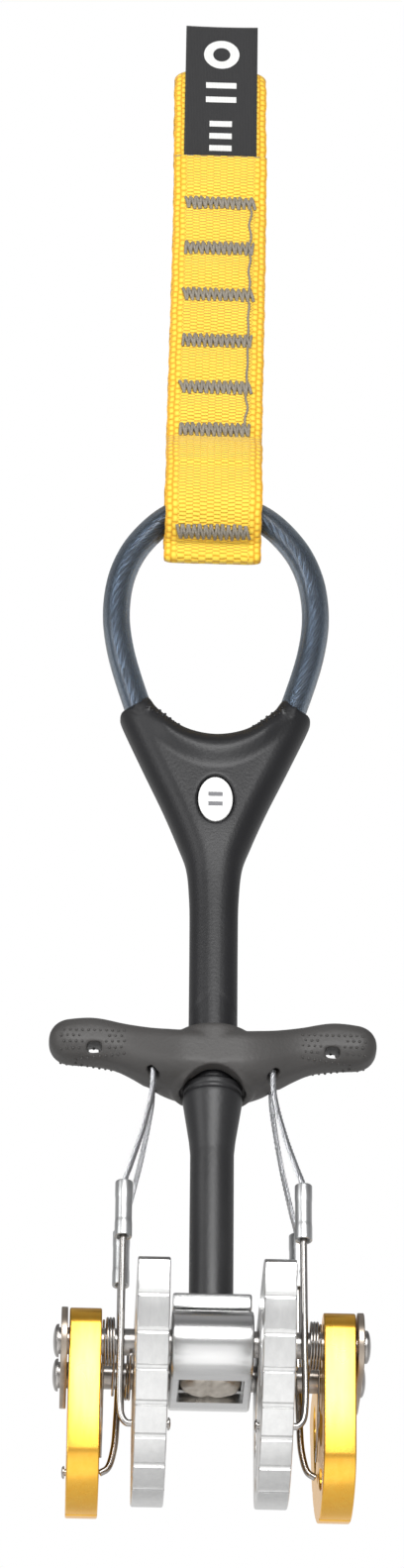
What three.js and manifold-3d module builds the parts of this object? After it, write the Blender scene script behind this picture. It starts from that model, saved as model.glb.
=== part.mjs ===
// A spring-loaded camming device: four toothed lobes on two parallel axles, a cable
// stem with a thumb loop, a sliding trigger bar and a sewn sling that it hangs from.
// Millimetres. Every shape is drawn about the point midway between the two axles,
// with +X right, -Y front and +Z up the stem. The finished group is then moved so
// that its zero is the carabiner's resting point inside the sling's eye.

import * as THREE from 'three';
import { mergeVertices } from 'three/addons/utils/BufferGeometryUtils.js';
import Module from 'manifold-3d';

const wasm = await Module();
wasm.setup();

// Fit between pieces
const clearance = 0.3;

// Axles and the stack of pieces along them, from the centre outwards
const axleSpacing = 14;
const axleY = axleSpacing / 2;
const axleRadius = 2.25;
const blockHalfWidth = 6.9;
const lobeThickness = 5.4;
const innerLobeX = 7.7;
const outerLobeX = 18.6;
const plateX = 24.3;
const plateThickness = 1.1;
const rivetHeadThickness = 1;
const rivetHeadRadius = 2.8;
const bossRadius = 5.6;

// Lobes: a logarithmic spiral, so that the lobe meets rock at the same angle all round
const lobeReach = 39;
const camAngle = THREE.MathUtils.degToRad(15);
const tipAngle = THREE.MathUtils.degToRad(-4.5);
const toeAngle = THREE.MathUtils.degToRad(76);
const toothPitch = 6;
const grooveWidth = 1.1;
const grooveDepth = 0.35;
const closingAngle = THREE.MathUtils.degToRad(72);
const rodHole = { reach: 17.6, drop: 16.3, radius: 0.9 };

// Stem, handle and thumb loop
const cableRadius = 1.4;
const legOffset = 1.5;
const stemBore = legOffset + cableRadius + clearance;
const lowerSleeve = { bottom: 9.4, top: 51.8, radius: 3.8, collarRadius: 5.2 };
const stemRadius = 4.3;
const handleBottom = 52.1;
const loopSleeveRadius = 2.5;
const loopSleeveBore = 1.7;
const handleHalfDepth = 4.6;
const badge = { z: 108, halfWidth: 3.1, halfHeight: 4.6, thickness: 0.7 };

// Trigger bar, cables, ferrules and rods
const triggerHalfDepth = 4;
const hub = { radius: 7.4, bottom: 50.6, top: 61.3 };
const collarArch = { radius: 6.6, z: 46.5 };
const fingerSlot = { x: 20.8, z: 58.9, width: 2.5, height: 1.9, tilt: THREE.MathUtils.degToRad(17) };
const triggerCableRadius = 0.6;
const rodRadius = 0.6;
const ferrule = { radius: 1.5, bore: 0.9, bottom: 18.2, top: 28.5, x: 15.3, y: 9.7 };

// Sling
const webbingWidth = 18;
const webbingThickness = 1.3;
const eyeInnerRadius = 3.25;
const slingTop = 280.5;
const loopTop = 174.5;
const tunnel = { radius: 5.8, z: loopTop - 1.1 };

const device = new THREE.Group();
const eyeCentreY = webbingThickness / 2 + eyeInnerRadius;
const eyeCentreZ = slingTop - webbingThickness - eyeInnerRadius;
device.position.set(0, -eyeCentreY, -(eyeCentreZ + eyeInnerRadius));

// ---- materials ----
function finish(color, roughness, metalness) {
  return new THREE.MeshStandardMaterial({ color, roughness, metalness });
}
const webbing = finish(0xfccd32, 0.85, 0);
const tagCloth = finish(0x3e3e40, 0.8, 0);
const blackPlastic = finish(0x3e3e42, 0.45, 0);
const triggerPlastic = finish(0x504e4c, 0.55, 0);
const sleevePlastic = finish(0x5a6978, 0.25, 0);
const badgePlastic = finish(0xf4f4f0, 0.4, 0);
const bareAluminium = finish(0xd2d4d4, 0.25, 1);
const goldAluminium = finish(0xe0a828, 0.22, 1);
const stainless = finish(0xa8a29a, 0.3, 1);

// ---- shape helpers ----
function solidOf(geometry) {
  const bare = geometry.clone();
  bare.deleteAttribute('normal');
  bare.deleteAttribute('uv');
  const welded = mergeVertices(bare, 1e-4);
  const triVerts = Uint32Array.from(welded.index.array);
  const vertProperties = Float32Array.from(welded.attributes.position.array);
  return new wasm.Manifold(new wasm.Mesh({ numProp: 3, vertProperties, triVerts }));
}

function geometryOf(solid) {
  const mesh = solid.getMesh();
  const geometry = new THREE.BufferGeometry();
  geometry.setAttribute('position', new THREE.BufferAttribute(mesh.vertProperties, 3));
  geometry.setIndex(new THREE.BufferAttribute(mesh.triVerts, 1));
  geometry.computeVertexNormals();
  return geometry;
}

function cut(geometry, tools) {
  const start = solidOf(geometry);
  return geometryOf(tools.reduce((left, tool) => left.subtract(solidOf(tool)), start));
}

function join(geometries) {
  const [first, ...rest] = geometries.map(solidOf);
  return geometryOf(rest.reduce((sum, next) => sum.add(next), first));
}

function add(name, geometry, material) {
  const mesh = new THREE.Mesh(geometry, material);
  mesh.name = name;
  device.add(mesh);
}

function points2(list) {
  return list.map(([a, b]) => new THREE.Vector2(a, b));
}

function roundPoints(radius, corners) {
  const points = [];
  for (let i = 0; i < corners; i += 1) {
    const angle = (2 * Math.PI * i) / corners;
    points.push(new THREE.Vector2(radius * Math.cos(angle), radius * Math.sin(angle)));
  }
  return points;
}

// Every extrusion is of a shape between two planes, with an optional edge chamfer
function slab(shape, from, to, chamfer = 0, curveSegments = 5) {
  const geometry = new THREE.ExtrudeGeometry(shape, {
    depth: to - from - 2 * chamfer,
    bevelEnabled: chamfer > 0,
    bevelThickness: chamfer,
    bevelSize: chamfer,
    bevelOffset: -chamfer,
    bevelSegments: 1,
    curveSegments,
  });
  return geometry.translate(0, 0, from + chamfer);
}

// A shape drawn in (Y, Z), pushed along X
function alongX(geometry) {
  const axes = [new THREE.Vector3(0, 1, 0), new THREE.Vector3(0, 0, 1), new THREE.Vector3(1, 0, 0)];
  return geometry.applyMatrix4(new THREE.Matrix4().makeBasis(...axes));
}

// A shape drawn in (X, Z), pushed along Y
function alongY(geometry) {
  return geometry.rotateX(Math.PI / 2);
}

function ring(radius, bore, corners) {
  const shape = new THREE.Shape(roundPoints(radius, corners));
  if (bore > 0) {
    shape.holes.push(new THREE.Path(roundPoints(bore, corners).reverse()));
  }
  return shape;
}

function tube(route, radius, bore, corners, steps) {
  const extrudePath = new THREE.CatmullRomCurve3(route, false, 'centripetal');
  return new THREE.ExtrudeGeometry(ring(radius, bore, corners), { steps, extrudePath });
}

function post(radius, bottom, top, x = 0, y = 0, corners = 24) {
  return slab(ring(radius, 0, corners), bottom, top).translate(x, y, 0);
}

function pinAlongX(radius, from, to, y, z) {
  return alongX(slab(ring(radius, 0, 18), from, to)).translate(0, y, z);
}

function vector([x, y, z]) {
  return new THREE.Vector3(x, y, z);
}

function mirrored(geometry, side) {
  return side > 0 ? geometry : geometryOf(solidOf(geometry).mirror([1, 0, 0]));
}

const sides = { left: -1, right: 1 };

// ---- sling: front layer, tunnel round the loop, eye for the carabiner ----
function slingOutline() {
  const halfStack = 1.5 * webbingThickness;
  const halfPair = webbingThickness;
  const tunnelRadius = tunnel.radius + webbingThickness;
  const eyeRadius = eyeInnerRadius + webbingThickness;
  const outline = new THREE.Shape();
  outline.moveTo(-halfPair, 166);
  outline.lineTo(-halfPair, 163.1);
  outline.absarc(0, 163.1, halfPair, Math.PI, 2 * Math.PI, false);
  outline.lineTo(halfPair, 166);
  outline.quadraticCurveTo(tunnelRadius, 167.5, tunnelRadius, tunnel.z);
  outline.quadraticCurveTo(tunnelRadius, 182, halfStack, 189);
  outline.lineTo(halfStack, 244.5);
  outline.bezierCurveTo(halfStack, 258, eyeCentreY + eyeRadius, 262, eyeCentreY + eyeRadius, eyeCentreZ);
  outline.absarc(eyeCentreY, eyeCentreZ, eyeRadius, 0, Math.PI, false);
  outline.lineTo(-webbingThickness / 2, 246);
  outline.lineTo(-webbingThickness / 2 - 1, 246);
  outline.lineTo(-webbingThickness / 2 - 1, 255.2);
  outline.lineTo(-webbingThickness * 1.5 - 1, 255.2);
  outline.lineTo(-webbingThickness * 1.5 - 1, 248);
  outline.lineTo(-halfStack, 243);
  outline.lineTo(-halfStack, 189);
  outline.quadraticCurveTo(-tunnelRadius, 182, -tunnelRadius, tunnel.z);
  outline.quadraticCurveTo(-tunnelRadius, 167.5, -halfPair, 166);
  return outline;
}

function sling() {
  const outline = slingOutline();
  const loopTunnel = new THREE.Path();
  loopTunnel.absarc(0, tunnel.z, tunnel.radius, 0, Math.PI, false);
  loopTunnel.absarc(0, tunnel.z, tunnel.radius, Math.PI, 2 * Math.PI, false);
  const eye = new THREE.Path();
  eye.moveTo(webbingThickness / 2, 250);
  eye.bezierCurveTo(1, 258, eyeCentreY + eyeInnerRadius, 264, eyeCentreY + eyeInnerRadius, eyeCentreZ);
  eye.absarc(eyeCentreY, eyeCentreZ, eyeInnerRadius, 0, Math.PI, false);
  outline.holes.push(loopTunnel, eye);
  const half = webbingWidth / 2;
  add('sling_strap', alongX(slab(outline, -half, half, 0, 10)), webbing);

  const tag = new THREE.BoxGeometry(13, 0.4, 42.3);
  tag.translate(0, -webbingThickness / 2 - 0.5, 246.4 + 42.3 / 2);
  add('sling_tag', tag, tagCloth);
}

// ---- stem cable: one length, up one side, round the thumb loop and down the other ----
const loopHalf = [
  [14.1, 0, 129.6],
  [17.5, 0, 142],
  [18.4, 0, 150.5],
  [17.3, 0, 159],
  [14.1, 0, 166],
  [8, 0, 172.2],
];
const legHalf = [
  [legOffset, 0, 90],
  [3, 0, 100],
  [6.6, 0, 110],
  [11.2, 0, 121],
];

function mirrorX([x, y, z]) {
  return [-x, y, z];
}

function throughLoop(half) {
  const back = half.map(mirrorX).reverse();
  return [...half, [0, 0, loopTop], ...back].map(vector);
}

function stemAndLoop() {
  const cableEnd = 3.3;
  const straight = [cableEnd, 35, 70].map((z) => [legOffset, 0, z]);
  const cableRoute = throughLoop([...straight, ...legHalf, ...loopHalf]);
  add('loop_cable', tube(cableRoute, cableRadius, 0, 6, 76), stainless);

  const sleeveRoute = throughLoop([[12.1, 0, 123.5], ...loopHalf]);
  add('loop_sleeve', tube(sleeveRoute, loopSleeveRadius, loopSleeveBore, 8, 32), sleevePlastic);

  const { bottom, top, radius, collarRadius } = lowerSleeve;
  const profile = points2([
    [stemBore, bottom],
    [radius, bottom],
    [radius, 39],
    [collarRadius - 0.3, 47],
    [collarRadius, 49.4],
    [collarRadius - 0.3, 49.9],
    [collarRadius - 0.3, 50.6],
    [collarRadius, 51.1],
    [collarRadius, top],
    [stemBore, top],
    [stemBore, bottom],
  ]);
  const sleeve = new THREE.LatheGeometry(profile, 24).rotateX(Math.PI / 2);
  add('lower_stem_sleeve', sleeve, blackPlastic);
}

// ---- handle: upper stem, yoke with two sockets, and its badge ----
function handleOutline() {
  const edge = [
    [4.5, 90],
    [5.1, 96.5],
    [6.6, 101],
    [9.2, 108],
    [17, 126],
    [16.9, 128.2],
    [12.3, 131],
    [9, 126.8],
    [5, 123.5],
  ];
  const left = edge.map(([x, z]) => [-x, z]).reverse();
  const right = [...edge, [0, 122.5]];
  return new THREE.Shape(points2([...right, ...left]));
}

function badgeOutline(grow) {
  const outline = new THREE.Shape();
  outline.absellipse(0, badge.z, badge.halfWidth + grow, badge.halfHeight + grow, 0, 2 * Math.PI);
  return outline;
}

function handle() {
  const front = -handleHalfDepth;
  const yoke = alongY(slab(handleOutline(), -handleHalfDepth, handleHalfDepth, 1));
  const stem = post(stemRadius, handleBottom, 97);
  const bore = post(stemBore, handleBottom - 1, 96);
  const tools = [bore];
  for (const side of Object.values(sides)) {
    const leg = [...legHalf, ...loopHalf.slice(0, 2)].map(([x, y, z]) => vector([side * x, y, z]));
    tools.push(tube(leg, cableRadius + clearance, 0, 8, 14));
    const socket = [[11.9, 0, 122.8], ...loopHalf.slice(0, 2)];
    const socketRoute = socket.map(([x, y, z]) => vector([side * x, y, z]));
    tools.push(tube(socketRoute, loopSleeveRadius + clearance, 0, 12, 5));
  }
  const pocketDepth = badge.thickness + clearance;
  tools.push(alongY(slab(badgeOutline(clearance), -front - pocketDepth, -front + 1)));
  add('handle', cut(join([yoke, stem]), tools), blackPlastic);

  const plate = alongY(slab(badgeOutline(0), -front - badge.thickness, -front));
  add('size_badge', plate, badgePlastic);
}

// ---- head block with its stem flange, and the swage that it holds ----
function obround(radius, reach) {
  const outline = new THREE.Shape();
  outline.absarc(reach, 0, radius, -Math.PI / 2, Math.PI / 2, false);
  outline.absarc(-reach, 0, radius, Math.PI / 2, 1.5 * Math.PI, false);
  return outline;
}

function box(width, depth, bottom, top) {
  const geometry = new THREE.BoxGeometry(width, depth, top - bottom);
  return geometry.translate(0, 0, (top + bottom) / 2);
}

function headBlock() {
  const flangeBottom = 6.3;
  const flangeTop = 9.1;
  const body = alongX(slab(obround(bossRadius, axleY), -blockHalfWidth, blockHalfWidth, 0.4));
  const neck = box(2 * blockHalfWidth, 9, 4, flangeBottom + 0.2);
  const flange = box(2 * blockHalfWidth - 0.4, 15.6, flangeBottom, flangeTop);
  const pocket = box(11.2, 9.2, -bossRadius - 1, -3.6);
  const channel = box(10.6, 8.2, -4, 3.6);
  const cableHole = box(2 * stemBore, 3.6, 3, flangeTop + 1);
  const bores = [-axleY, axleY].map((y) => pinAlongX(axleRadius + clearance, -9, 9, y, 0));
  const block = cut(join([body, neck, flange]), [pocket, channel, cableHole, ...bores]);
  add('head_block', block, bareAluminium);

  const swageHalf = { width: 4.9, depth: 3.8 };
  const footprint = obround(swageHalf.depth, swageHalf.width - swageHalf.depth);
  add('cable_swage', slab(footprint, -4.9, 3, 0.8, 6), stainless);
}

// ---- axles with riveted ends, and the end plates that they hold ----
function axles() {
  const end = plateX + plateThickness + clearance;
  for (const [name, y] of Object.entries({ front_axle: -axleY, rear_axle: axleY })) {
    const profile = points2([
      [0, -end - rivetHeadThickness],
      [rivetHeadRadius - 0.4, -end - rivetHeadThickness],
      [rivetHeadRadius, -end - 0.5],
      [rivetHeadRadius, -end],
      [axleRadius, -end],
      [axleRadius, end],
      [rivetHeadRadius, end],
      [rivetHeadRadius, end + 0.5],
      [rivetHeadRadius - 0.4, end + rivetHeadThickness],
      [0, end + rivetHeadThickness],
    ]);
    const axle = new THREE.LatheGeometry(profile, 18).rotateZ(-Math.PI / 2);
    add(name, axle.translate(0, y, 0), stainless);
  }
  for (const [name, side] of Object.entries(sides)) {
    const outline = obround(5.7, axleY);
    for (const y of [-axleY, axleY]) {
      const hole = roundPoints(axleRadius + clearance, 16).reverse();
      outline.holes.push(new THREE.Path(hole.map((point) => point.add(new THREE.Vector2(y, 0)))));
    }
    const plate = alongX(slab(outline, plateX, plateX + plateThickness));
    add(`${name}_end_plate`, mirrored(plate, side), stainless);
  }
}

// ---- lobes ----
// A lobe is drawn with its pivot at zero, its contact side towards +Y and hanging down
function spiralPoint(angle, inset = 0) {
  const radius = lobeReach * Math.exp(-angle * Math.tan(camAngle)) - inset;
  return [radius * Math.cos(angle), -radius * Math.sin(angle)];
}

function toothedEdge() {
  const edge = [];
  let angle = tipAngle;
  let radius = lobeReach;
  while (angle + toothPitch / radius < toeAngle) {
    radius = lobeReach * Math.exp(-angle * Math.tan(camAngle));
    const groove = grooveWidth / radius;
    const land = toothPitch / radius - groove;
    edge.push(spiralPoint(angle), spiralPoint(angle + land / 2), spiralPoint(angle + land));
    edge.push(spiralPoint(angle + land + 0.25 * groove, grooveDepth));
    edge.push(spiralPoint(angle + land + 0.75 * groove, grooveDepth));
    angle += land + groove;
  }
  edge.push(spiralPoint(angle));
  return edge;
}

function arcSlot(radius, halfWidth, from, to) {
  const slot = new THREE.Path();
  slot.absarc(0, 0, radius + halfWidth, -from, -to, true);
  slot.absarc(radius * Math.cos(to), -radius * Math.sin(to), halfWidth, -to, -to - Math.PI, true);
  slot.absarc(0, 0, radius - halfWidth, -to, -from, false);
  slot.absarc(radius * Math.cos(from), -radius * Math.sin(from), halfWidth, Math.PI - from, -from, true);
  return slot;
}

function lobeOutline() {
  const toothed = toothedEdge();
  const toe = toothed[toothed.length - 1];
  const edge = new THREE.Path();
  edge.moveTo(...toothed[0]);
  toothed.slice(1).forEach((point) => edge.lineTo(...point));
  edge.bezierCurveTo(toe[0] - 4, toe[1] - 0.6, -1, -25.6, -2.5, -20.2);
  edge.lineTo(-5, 1.1);
  edge.lineTo(-3, 4.4);
  edge.lineTo(0, 5.6);
  edge.lineTo(33, 5.6);
  edge.quadraticCurveTo(37.5, 5.6, ...toothed[0]);
  const outline = new THREE.Shape(edge.getPoints(6).reverse());
  const hole = (radius, y, z) => {
    const round = roundPoints(radius, 14).reverse();
    return new THREE.Path(round.map((point) => point.add(new THREE.Vector2(y, z))));
  };
  outline.holes.push(
    hole(axleRadius + clearance, 0, 0),
    hole(rodHole.radius, rodHole.reach, -rodHole.drop),
    arcSlot(axleSpacing, axleRadius + clearance, -0.01, closingAngle + 0.02),
    arcSlot(26, 3, 0.1, 0.42),
    arcSlot(22.2, 1.7, 1.02, 1.3),
  );
  return outline;
}

// Inner lobes turn on the rear axle and bite to the front; outer lobes the other way round
const lobes = {
  inner_left: { side: -1, face: innerLobeX, pivotY: axleY, bite: -1, metal: bareAluminium },
  inner_right: { side: 1, face: innerLobeX, pivotY: axleY, bite: -1, metal: bareAluminium },
  outer_left: { side: -1, face: outerLobeX, pivotY: -axleY, bite: 1, metal: goldAluminium },
  outer_right: { side: 1, face: outerLobeX, pivotY: -axleY, bite: 1, metal: goldAluminium },
};

function addLobes() {
  for (const [name, { side, face, pivotY, bite, metal }] of Object.entries(lobes)) {
    const blank = alongX(slab(lobeOutline(), face, face + lobeThickness, 0, 3));
    const solid = solidOf(blank);
    const turned = bite > 0 ? solid : solid.mirror([0, 1, 0]);
    const placed = side > 0 ? turned : turned.mirror([1, 0, 0]);
    add(`${name}_lobe`, geometryOf(placed.translate([0, pivotY, 0])), metal);
  }
}

// ---- closing springs: a close coil on the lobe's axle, one leg under the other axle ----
function addSprings() {
  const wire = 0.22;
  const coilRadius = 3.9;
  const pitch = 0.5;
  const stepsPerTurn = 11;
  const legDrop = axleRadius + clearance + wire;
  for (const [name, { side, face, pivotY, bite }] of Object.entries(lobes)) {
    const isInner = face === innerLobeX;
    const turns = isInner ? 1.25 : 3.25;
    const start = isInner ? face + lobeThickness + clearance + wire : 16.2 + wire;
    const route = [[start, pivotY + bite * (axleSpacing + 1.5), -legDrop - 0.1]];
    for (let step = 0; step <= turns * stepsPerTurn; step += 1) {
      const angle = (2 * Math.PI * step) / stepsPerTurn;
      const x = start + (pitch * step) / stepsPerTurn;
      const across = -bite * coilRadius * Math.sin(angle);
      route.push([x, pivotY + across, -coilRadius * Math.cos(angle)]);
    }
    const coil = tube(route.map(vector), wire, 0, 5, Math.round(turns * 11) + 6);
    add(`${name}_spring`, mirrored(coil, side), stainless);
  }
}

// ---- trigger bar ----
function triggerOutline() {
  const top = [
    [6, 61.4],
    [10, 62.1],
    [15, 63.3],
    [21, 64.5],
    [25.5, 64.1],
  ];
  const bottom = [
    [25.5, 56.7],
    [21, 56.4],
    [17.5, 55.8],
    [14.7, 54.6],
    [11, 52.7],
    [8.2, 51.6],
    [5.5, 50.9],
  ];
  const tipRadius = 3.7;
  const tip = [];
  for (let step = 1; step < 6; step += 1) {
    const angle = Math.PI / 2 - (step * Math.PI) / 6;
    tip.push([25.1 + tipRadius * Math.cos(angle), 60.4 + tipRadius * Math.sin(angle)]);
  }
  const right = [...top, ...tip, ...bottom];
  const left = right.map(([x, z]) => [-x, z]).reverse();
  return new THREE.Shape(points2([...right, ...left]));
}

const cableExit = { x: 10.4, y: 3.2, z: 54 };

function trigger() {
  const collarRoom = lowerSleeve.collarRadius + 0.7;
  const bar = alongY(slab(triggerOutline(), -triggerHalfDepth, triggerHalfDepth, 1));
  const boss = post(hub.radius, hub.bottom, hub.top);
  const bore = post(stemRadius + 0.45, 46, 63);
  const collarSeat = post(collarRoom, 46, lowerSleeve.top + clearance);
  const arch = alongY(slab(ring(collarArch.radius, 0, 32), -12, 12)).translate(0, 0, collarArch.z);
  const tools = [bore, collarSeat, arch];
  for (const side of Object.values(sides)) {
    const slot = new THREE.BoxGeometry(fingerSlot.width, 16, fingerSlot.height);
    tools.push(slot.rotateX(fingerSlot.tilt).translate(side * fingerSlot.x, 0, fingerSlot.z));
    for (const y of [-cableExit.y, cableExit.y]) {
      tools.push(post(1.1, 46, 57, side * cableExit.x, y, 12));
    }
  }
  add('trigger_bar', cut(join([bar, boss]), tools), triggerPlastic);
}

// ---- links: cable, ferrule and rod from the trigger to each lobe ----
function addLinks() {
  const [holeZ, holeY] = [-rodHole.drop, rodHole.reach - axleY];
  for (const [name, { side, face, bite }] of Object.entries(lobes)) {
    const place = ([x, y, z]) => vector([side * x, bite * y, z]);
    const cable = [
      [cableExit.x, cableExit.y, cableExit.z],
      [cableExit.x + 0.2, cableExit.y + 0.2, 49.5],
      [12.2, 6, 40.5],
      [14.2, 8.6, 32.5],
      [ferrule.x, ferrule.y, ferrule.top - 0.2],
      [ferrule.x, ferrule.y, ferrule.top - 4],
    ];
    add(`${name}_trigger_cable`, tube(cable.map(place), triggerCableRadius, 0, 6, 14), stainless);

    const shell = slab(ring(ferrule.radius, ferrule.bore, 12), ferrule.bottom, ferrule.top);
    const ferruleY = bite * ferrule.y;
    add(`${name}_ferrule`, shell.translate(side * ferrule.x, ferruleY, 0), stainless);

    const isInner = face === innerLobeX;
    const start = [ferrule.x, ferrule.y, ferrule.bottom + 4];
    const lowered = [ferrule.x, ferrule.y, ferrule.bottom];
    const past = [ferrule.x + 0.1, ferrule.y + 0.55, 0];
    const hook = isInner
      ? [
          [15.4, holeY, -12.8],
          [15, holeY, -15.2],
          [14.2, holeY, holeZ + 0.1],
          [face + lobeThickness + clearance, holeY, holeZ],
        ]
      : [
          [15.6, holeY - 0.1, -6.5],
          [16, holeY, -12],
          [17, holeY, -15.4],
          [face - clearance, holeY, holeZ],
        ];
    const rod = [start, lowered, past, ...hook];
    add(`${name}_rod`, tube(rod.map(place), rodRadius, 0, 6, 24), stainless);

    // The rod's end crosses the lobe and is flared on the far side
    const flareRadius = 1.1;
    const near = isInner ? face + lobeThickness : face;
    const far = isInner ? face : face + lobeThickness;
    const out = isInner ? -1 : 1;
    const profile = points2([
      [0, near + out * 0.1],
      [rodRadius, near + out * 0.1],
      [rodRadius, far + out * 0.2],
      [flareRadius, far + out * clearance],
      [flareRadius, far + out * 0.8],
      [0, far + out * 0.8],
    ]);
    const ordered = out > 0 ? profile : profile.reverse();
    const rodEnd = new THREE.LatheGeometry(ordered, 12).rotateZ(-Math.PI / 2);
    rodEnd.translate(0, bite * holeY, holeZ);
    add(`${name}_rod_end`, mirrored(rodEnd, side), stainless);
  }
}

sling();
stemAndLoop();
handle();
headBlock();
axles();
addLobes();
addSprings();
trigger();
addLinks();

export default device;
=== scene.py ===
import math
import bmesh
import bpy
from mathutils import Matrix, Vector
from mathutils.bvhtree import BVHTree


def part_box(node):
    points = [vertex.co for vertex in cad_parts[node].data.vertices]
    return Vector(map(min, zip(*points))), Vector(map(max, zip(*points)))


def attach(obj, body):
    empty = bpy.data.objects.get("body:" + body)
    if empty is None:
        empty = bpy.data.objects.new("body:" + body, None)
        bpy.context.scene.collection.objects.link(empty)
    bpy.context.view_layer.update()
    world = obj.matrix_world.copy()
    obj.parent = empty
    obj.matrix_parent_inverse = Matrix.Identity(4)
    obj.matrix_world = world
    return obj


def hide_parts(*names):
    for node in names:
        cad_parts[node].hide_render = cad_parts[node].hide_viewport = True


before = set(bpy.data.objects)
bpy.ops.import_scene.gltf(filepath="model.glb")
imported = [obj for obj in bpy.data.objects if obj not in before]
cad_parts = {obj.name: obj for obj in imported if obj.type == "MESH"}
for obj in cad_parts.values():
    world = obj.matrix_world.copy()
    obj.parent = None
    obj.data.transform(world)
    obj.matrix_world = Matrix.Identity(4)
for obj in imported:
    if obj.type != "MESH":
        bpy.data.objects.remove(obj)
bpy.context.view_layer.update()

# Everything is drawn in millimetres about the point midway between the two axles,
# then scaled and moved into the row frame when the piece is finished.
mm = 0.001
frontLow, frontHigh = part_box("front_axle")
rearLow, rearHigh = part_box("rear_axle")
headCentre = (frontLow + frontHigh + rearLow + rearHigh) / 4
toRow = Matrix.Translation(headCentre) @ Matrix.Scale(mm, 4)
axleY = (rearLow.y + rearHigh.y - frontLow.y - frontHigh.y) / 4 / mm
scene = bpy.context.scene


# ---- node helpers, and the shader groups that several materials share
socketKinds = {float: "NodeSocketFloat", int: "NodeSocketInt", tuple: "NodeSocketVector"}


def feed(tree, target, source):
    # a socket is linked, anything else is set as the value
    if isinstance(source, bpy.types.NodeSocket):
        tree.links.new(source, target)
    else:
        target.default_value = source


def newNode(tree, kind, inputs=None, **settings):
    node = tree.nodes.new(kind)
    for key, value in settings.items():
        setattr(node, key, value)
    for label, source in (inputs or {}).items():
        feed(tree, node.inputs[label], source)
    return node


def mathNode(tree, operation, *values):
    return newNode(tree, "ShaderNodeMath", dict(enumerate(values)), operation=operation).outputs[0]


def mixColours(tree, factor, a, b, blend="MIX"):
    sockets = {"Factor": factor, 6: a, 7: b}
    return newNode(tree, "ShaderNodeMix", sockets, data_type="RGBA", blend_type=blend).outputs[2]


def rampOf(tree, source, stops):
    node = newNode(tree, "ShaderNodeValToRGB", {"Fac": source})
    elements = node.color_ramp.elements
    for element, (place, colour) in zip((elements[0], elements[1]), (stops[0], stops[-1])):
        element.position = place
        element.color = (*colour, 1)
    for place, colour in stops[1:-1]:
        elements.new(place).color = (*colour, 1)
    return node.outputs["Color"]


def rangeOf(tree, source, low, high):
    return newNode(tree, "ShaderNodeMapRange", {"Value": source, "To Min": low, "To Max": high}).outputs[0]


def newGroup(name, kind, inputs):
    group = bpy.data.node_groups.new(name, kind)
    for label, value in inputs.items():
        socket = group.interface.new_socket(label, in_out="INPUT", socket_type=socketKinds[type(value)])
        socket.default_value = value
    return group, newNode(group, "NodeGroupInput").outputs


def shaderGroup(name, **inputs):
    group, given = newGroup(name, "ShaderNodeTree", inputs)
    for label in ("height", "mask"):
        group.interface.new_socket(label, in_out="OUTPUT", socket_type="NodeSocketFloat")
    return group, given


def useGroup(tree, group, **values):
    return newNode(tree, "ShaderNodeGroup", values, node_tree=group).outputs


def makeGrainGroup():
    # moulded or cast surface: fine pebbles over a broad, faint unevenness
    group, given = shaderGroup(
        "surfaceGrain", Vector=(0.0, 0.0, 0.0), fineScale=2500.0, broadScale=90.0, broadShare=0.4
    )
    where = given["Vector"]
    fine = newNode(group, "ShaderNodeTexNoise", {"Vector": where, "Scale": given["fineScale"], "Detail": 4})
    broad = newNode(group, "ShaderNodeTexNoise", {"Vector": where, "Scale": given["broadScale"], "Detail": 5})
    slow = mathNode(group, "MULTIPLY", broad.outputs[0], given["broadShare"])
    height = mathNode(group, "ADD", fine.outputs[0], slow)
    newNode(group, "NodeGroupOutput", {"height": height, "mask": broad.outputs[0]})
    return group


def makeBrushGroup():
    # tool marks and handling scratches, drawn out along one direction
    group, given = shaderGroup(
        "toolMarks", Vector=(0.0, 0.0, 0.0), stretch=(1.0, 1.0, 1.0), scale=400.0, contrast=1.0
    )
    pulled = {0: given["Vector"], 1: given["stretch"]}
    drawn = newNode(group, "ShaderNodeVectorMath", pulled, operation="MULTIPLY")
    noise = {"Vector": drawn.outputs[0], "Scale": given["scale"], "Detail": 6, "Roughness": 0.65}
    lines = newNode(group, "ShaderNodeTexNoise", noise)
    centred = mathNode(group, "SUBTRACT", lines.outputs[0], 0.5)
    spread = mathNode(group, "MULTIPLY_ADD", centred, given["contrast"], 0.5)
    newNode(group, "NodeGroupOutput", {"height": spread, "mask": spread})
    return group


def makeWeaveGroup():
    # crossing yarns: rounded cells, with every second column set half a step along
    group, given = shaderGroup(
        "wovenYarns", across=0.0, along=0.0, columnWidth=0.0008, pickLength=0.0009, columnDepth=0.5
    )
    column = mathNode(group, "DIVIDE", given["across"], given["columnWidth"])
    whole = mathNode(group, "FLOOR", column)
    shift = mathNode(group, "MULTIPLY", mathNode(group, "MODULO", whole, 2.0), 0.5)
    pick = mathNode(group, "DIVIDE", given["along"], given["pickLength"])
    turn = mathNode(group, "MULTIPLY", mathNode(group, "ADD", pick, shift), math.pi)
    rib = mathNode(group, "ABSOLUTE", mathNode(group, "SINE", turn))
    side = mathNode(group, "ABSOLUTE", mathNode(group, "SINE", mathNode(group, "MULTIPLY", column, math.pi)))
    between = mathNode(group, "POWER", side, given["columnDepth"])
    cell = mathNode(group, "MULTIPLY", mathNode(group, "POWER", rib, 0.6), between)
    newNode(group, "NodeGroupOutput", {"height": cell, "mask": rib})
    return group


surfaceGrain = makeGrainGroup()
toolMarks = makeBrushGroup()
wovenYarns = makeWeaveGroup()


def newMaterial(name):
    material = bpy.data.materials.new(name)
    material.use_nodes = True
    tree = material.node_tree
    return material, tree, newNode(tree, "ShaderNodeTexCoord").outputs["Object"]


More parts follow.
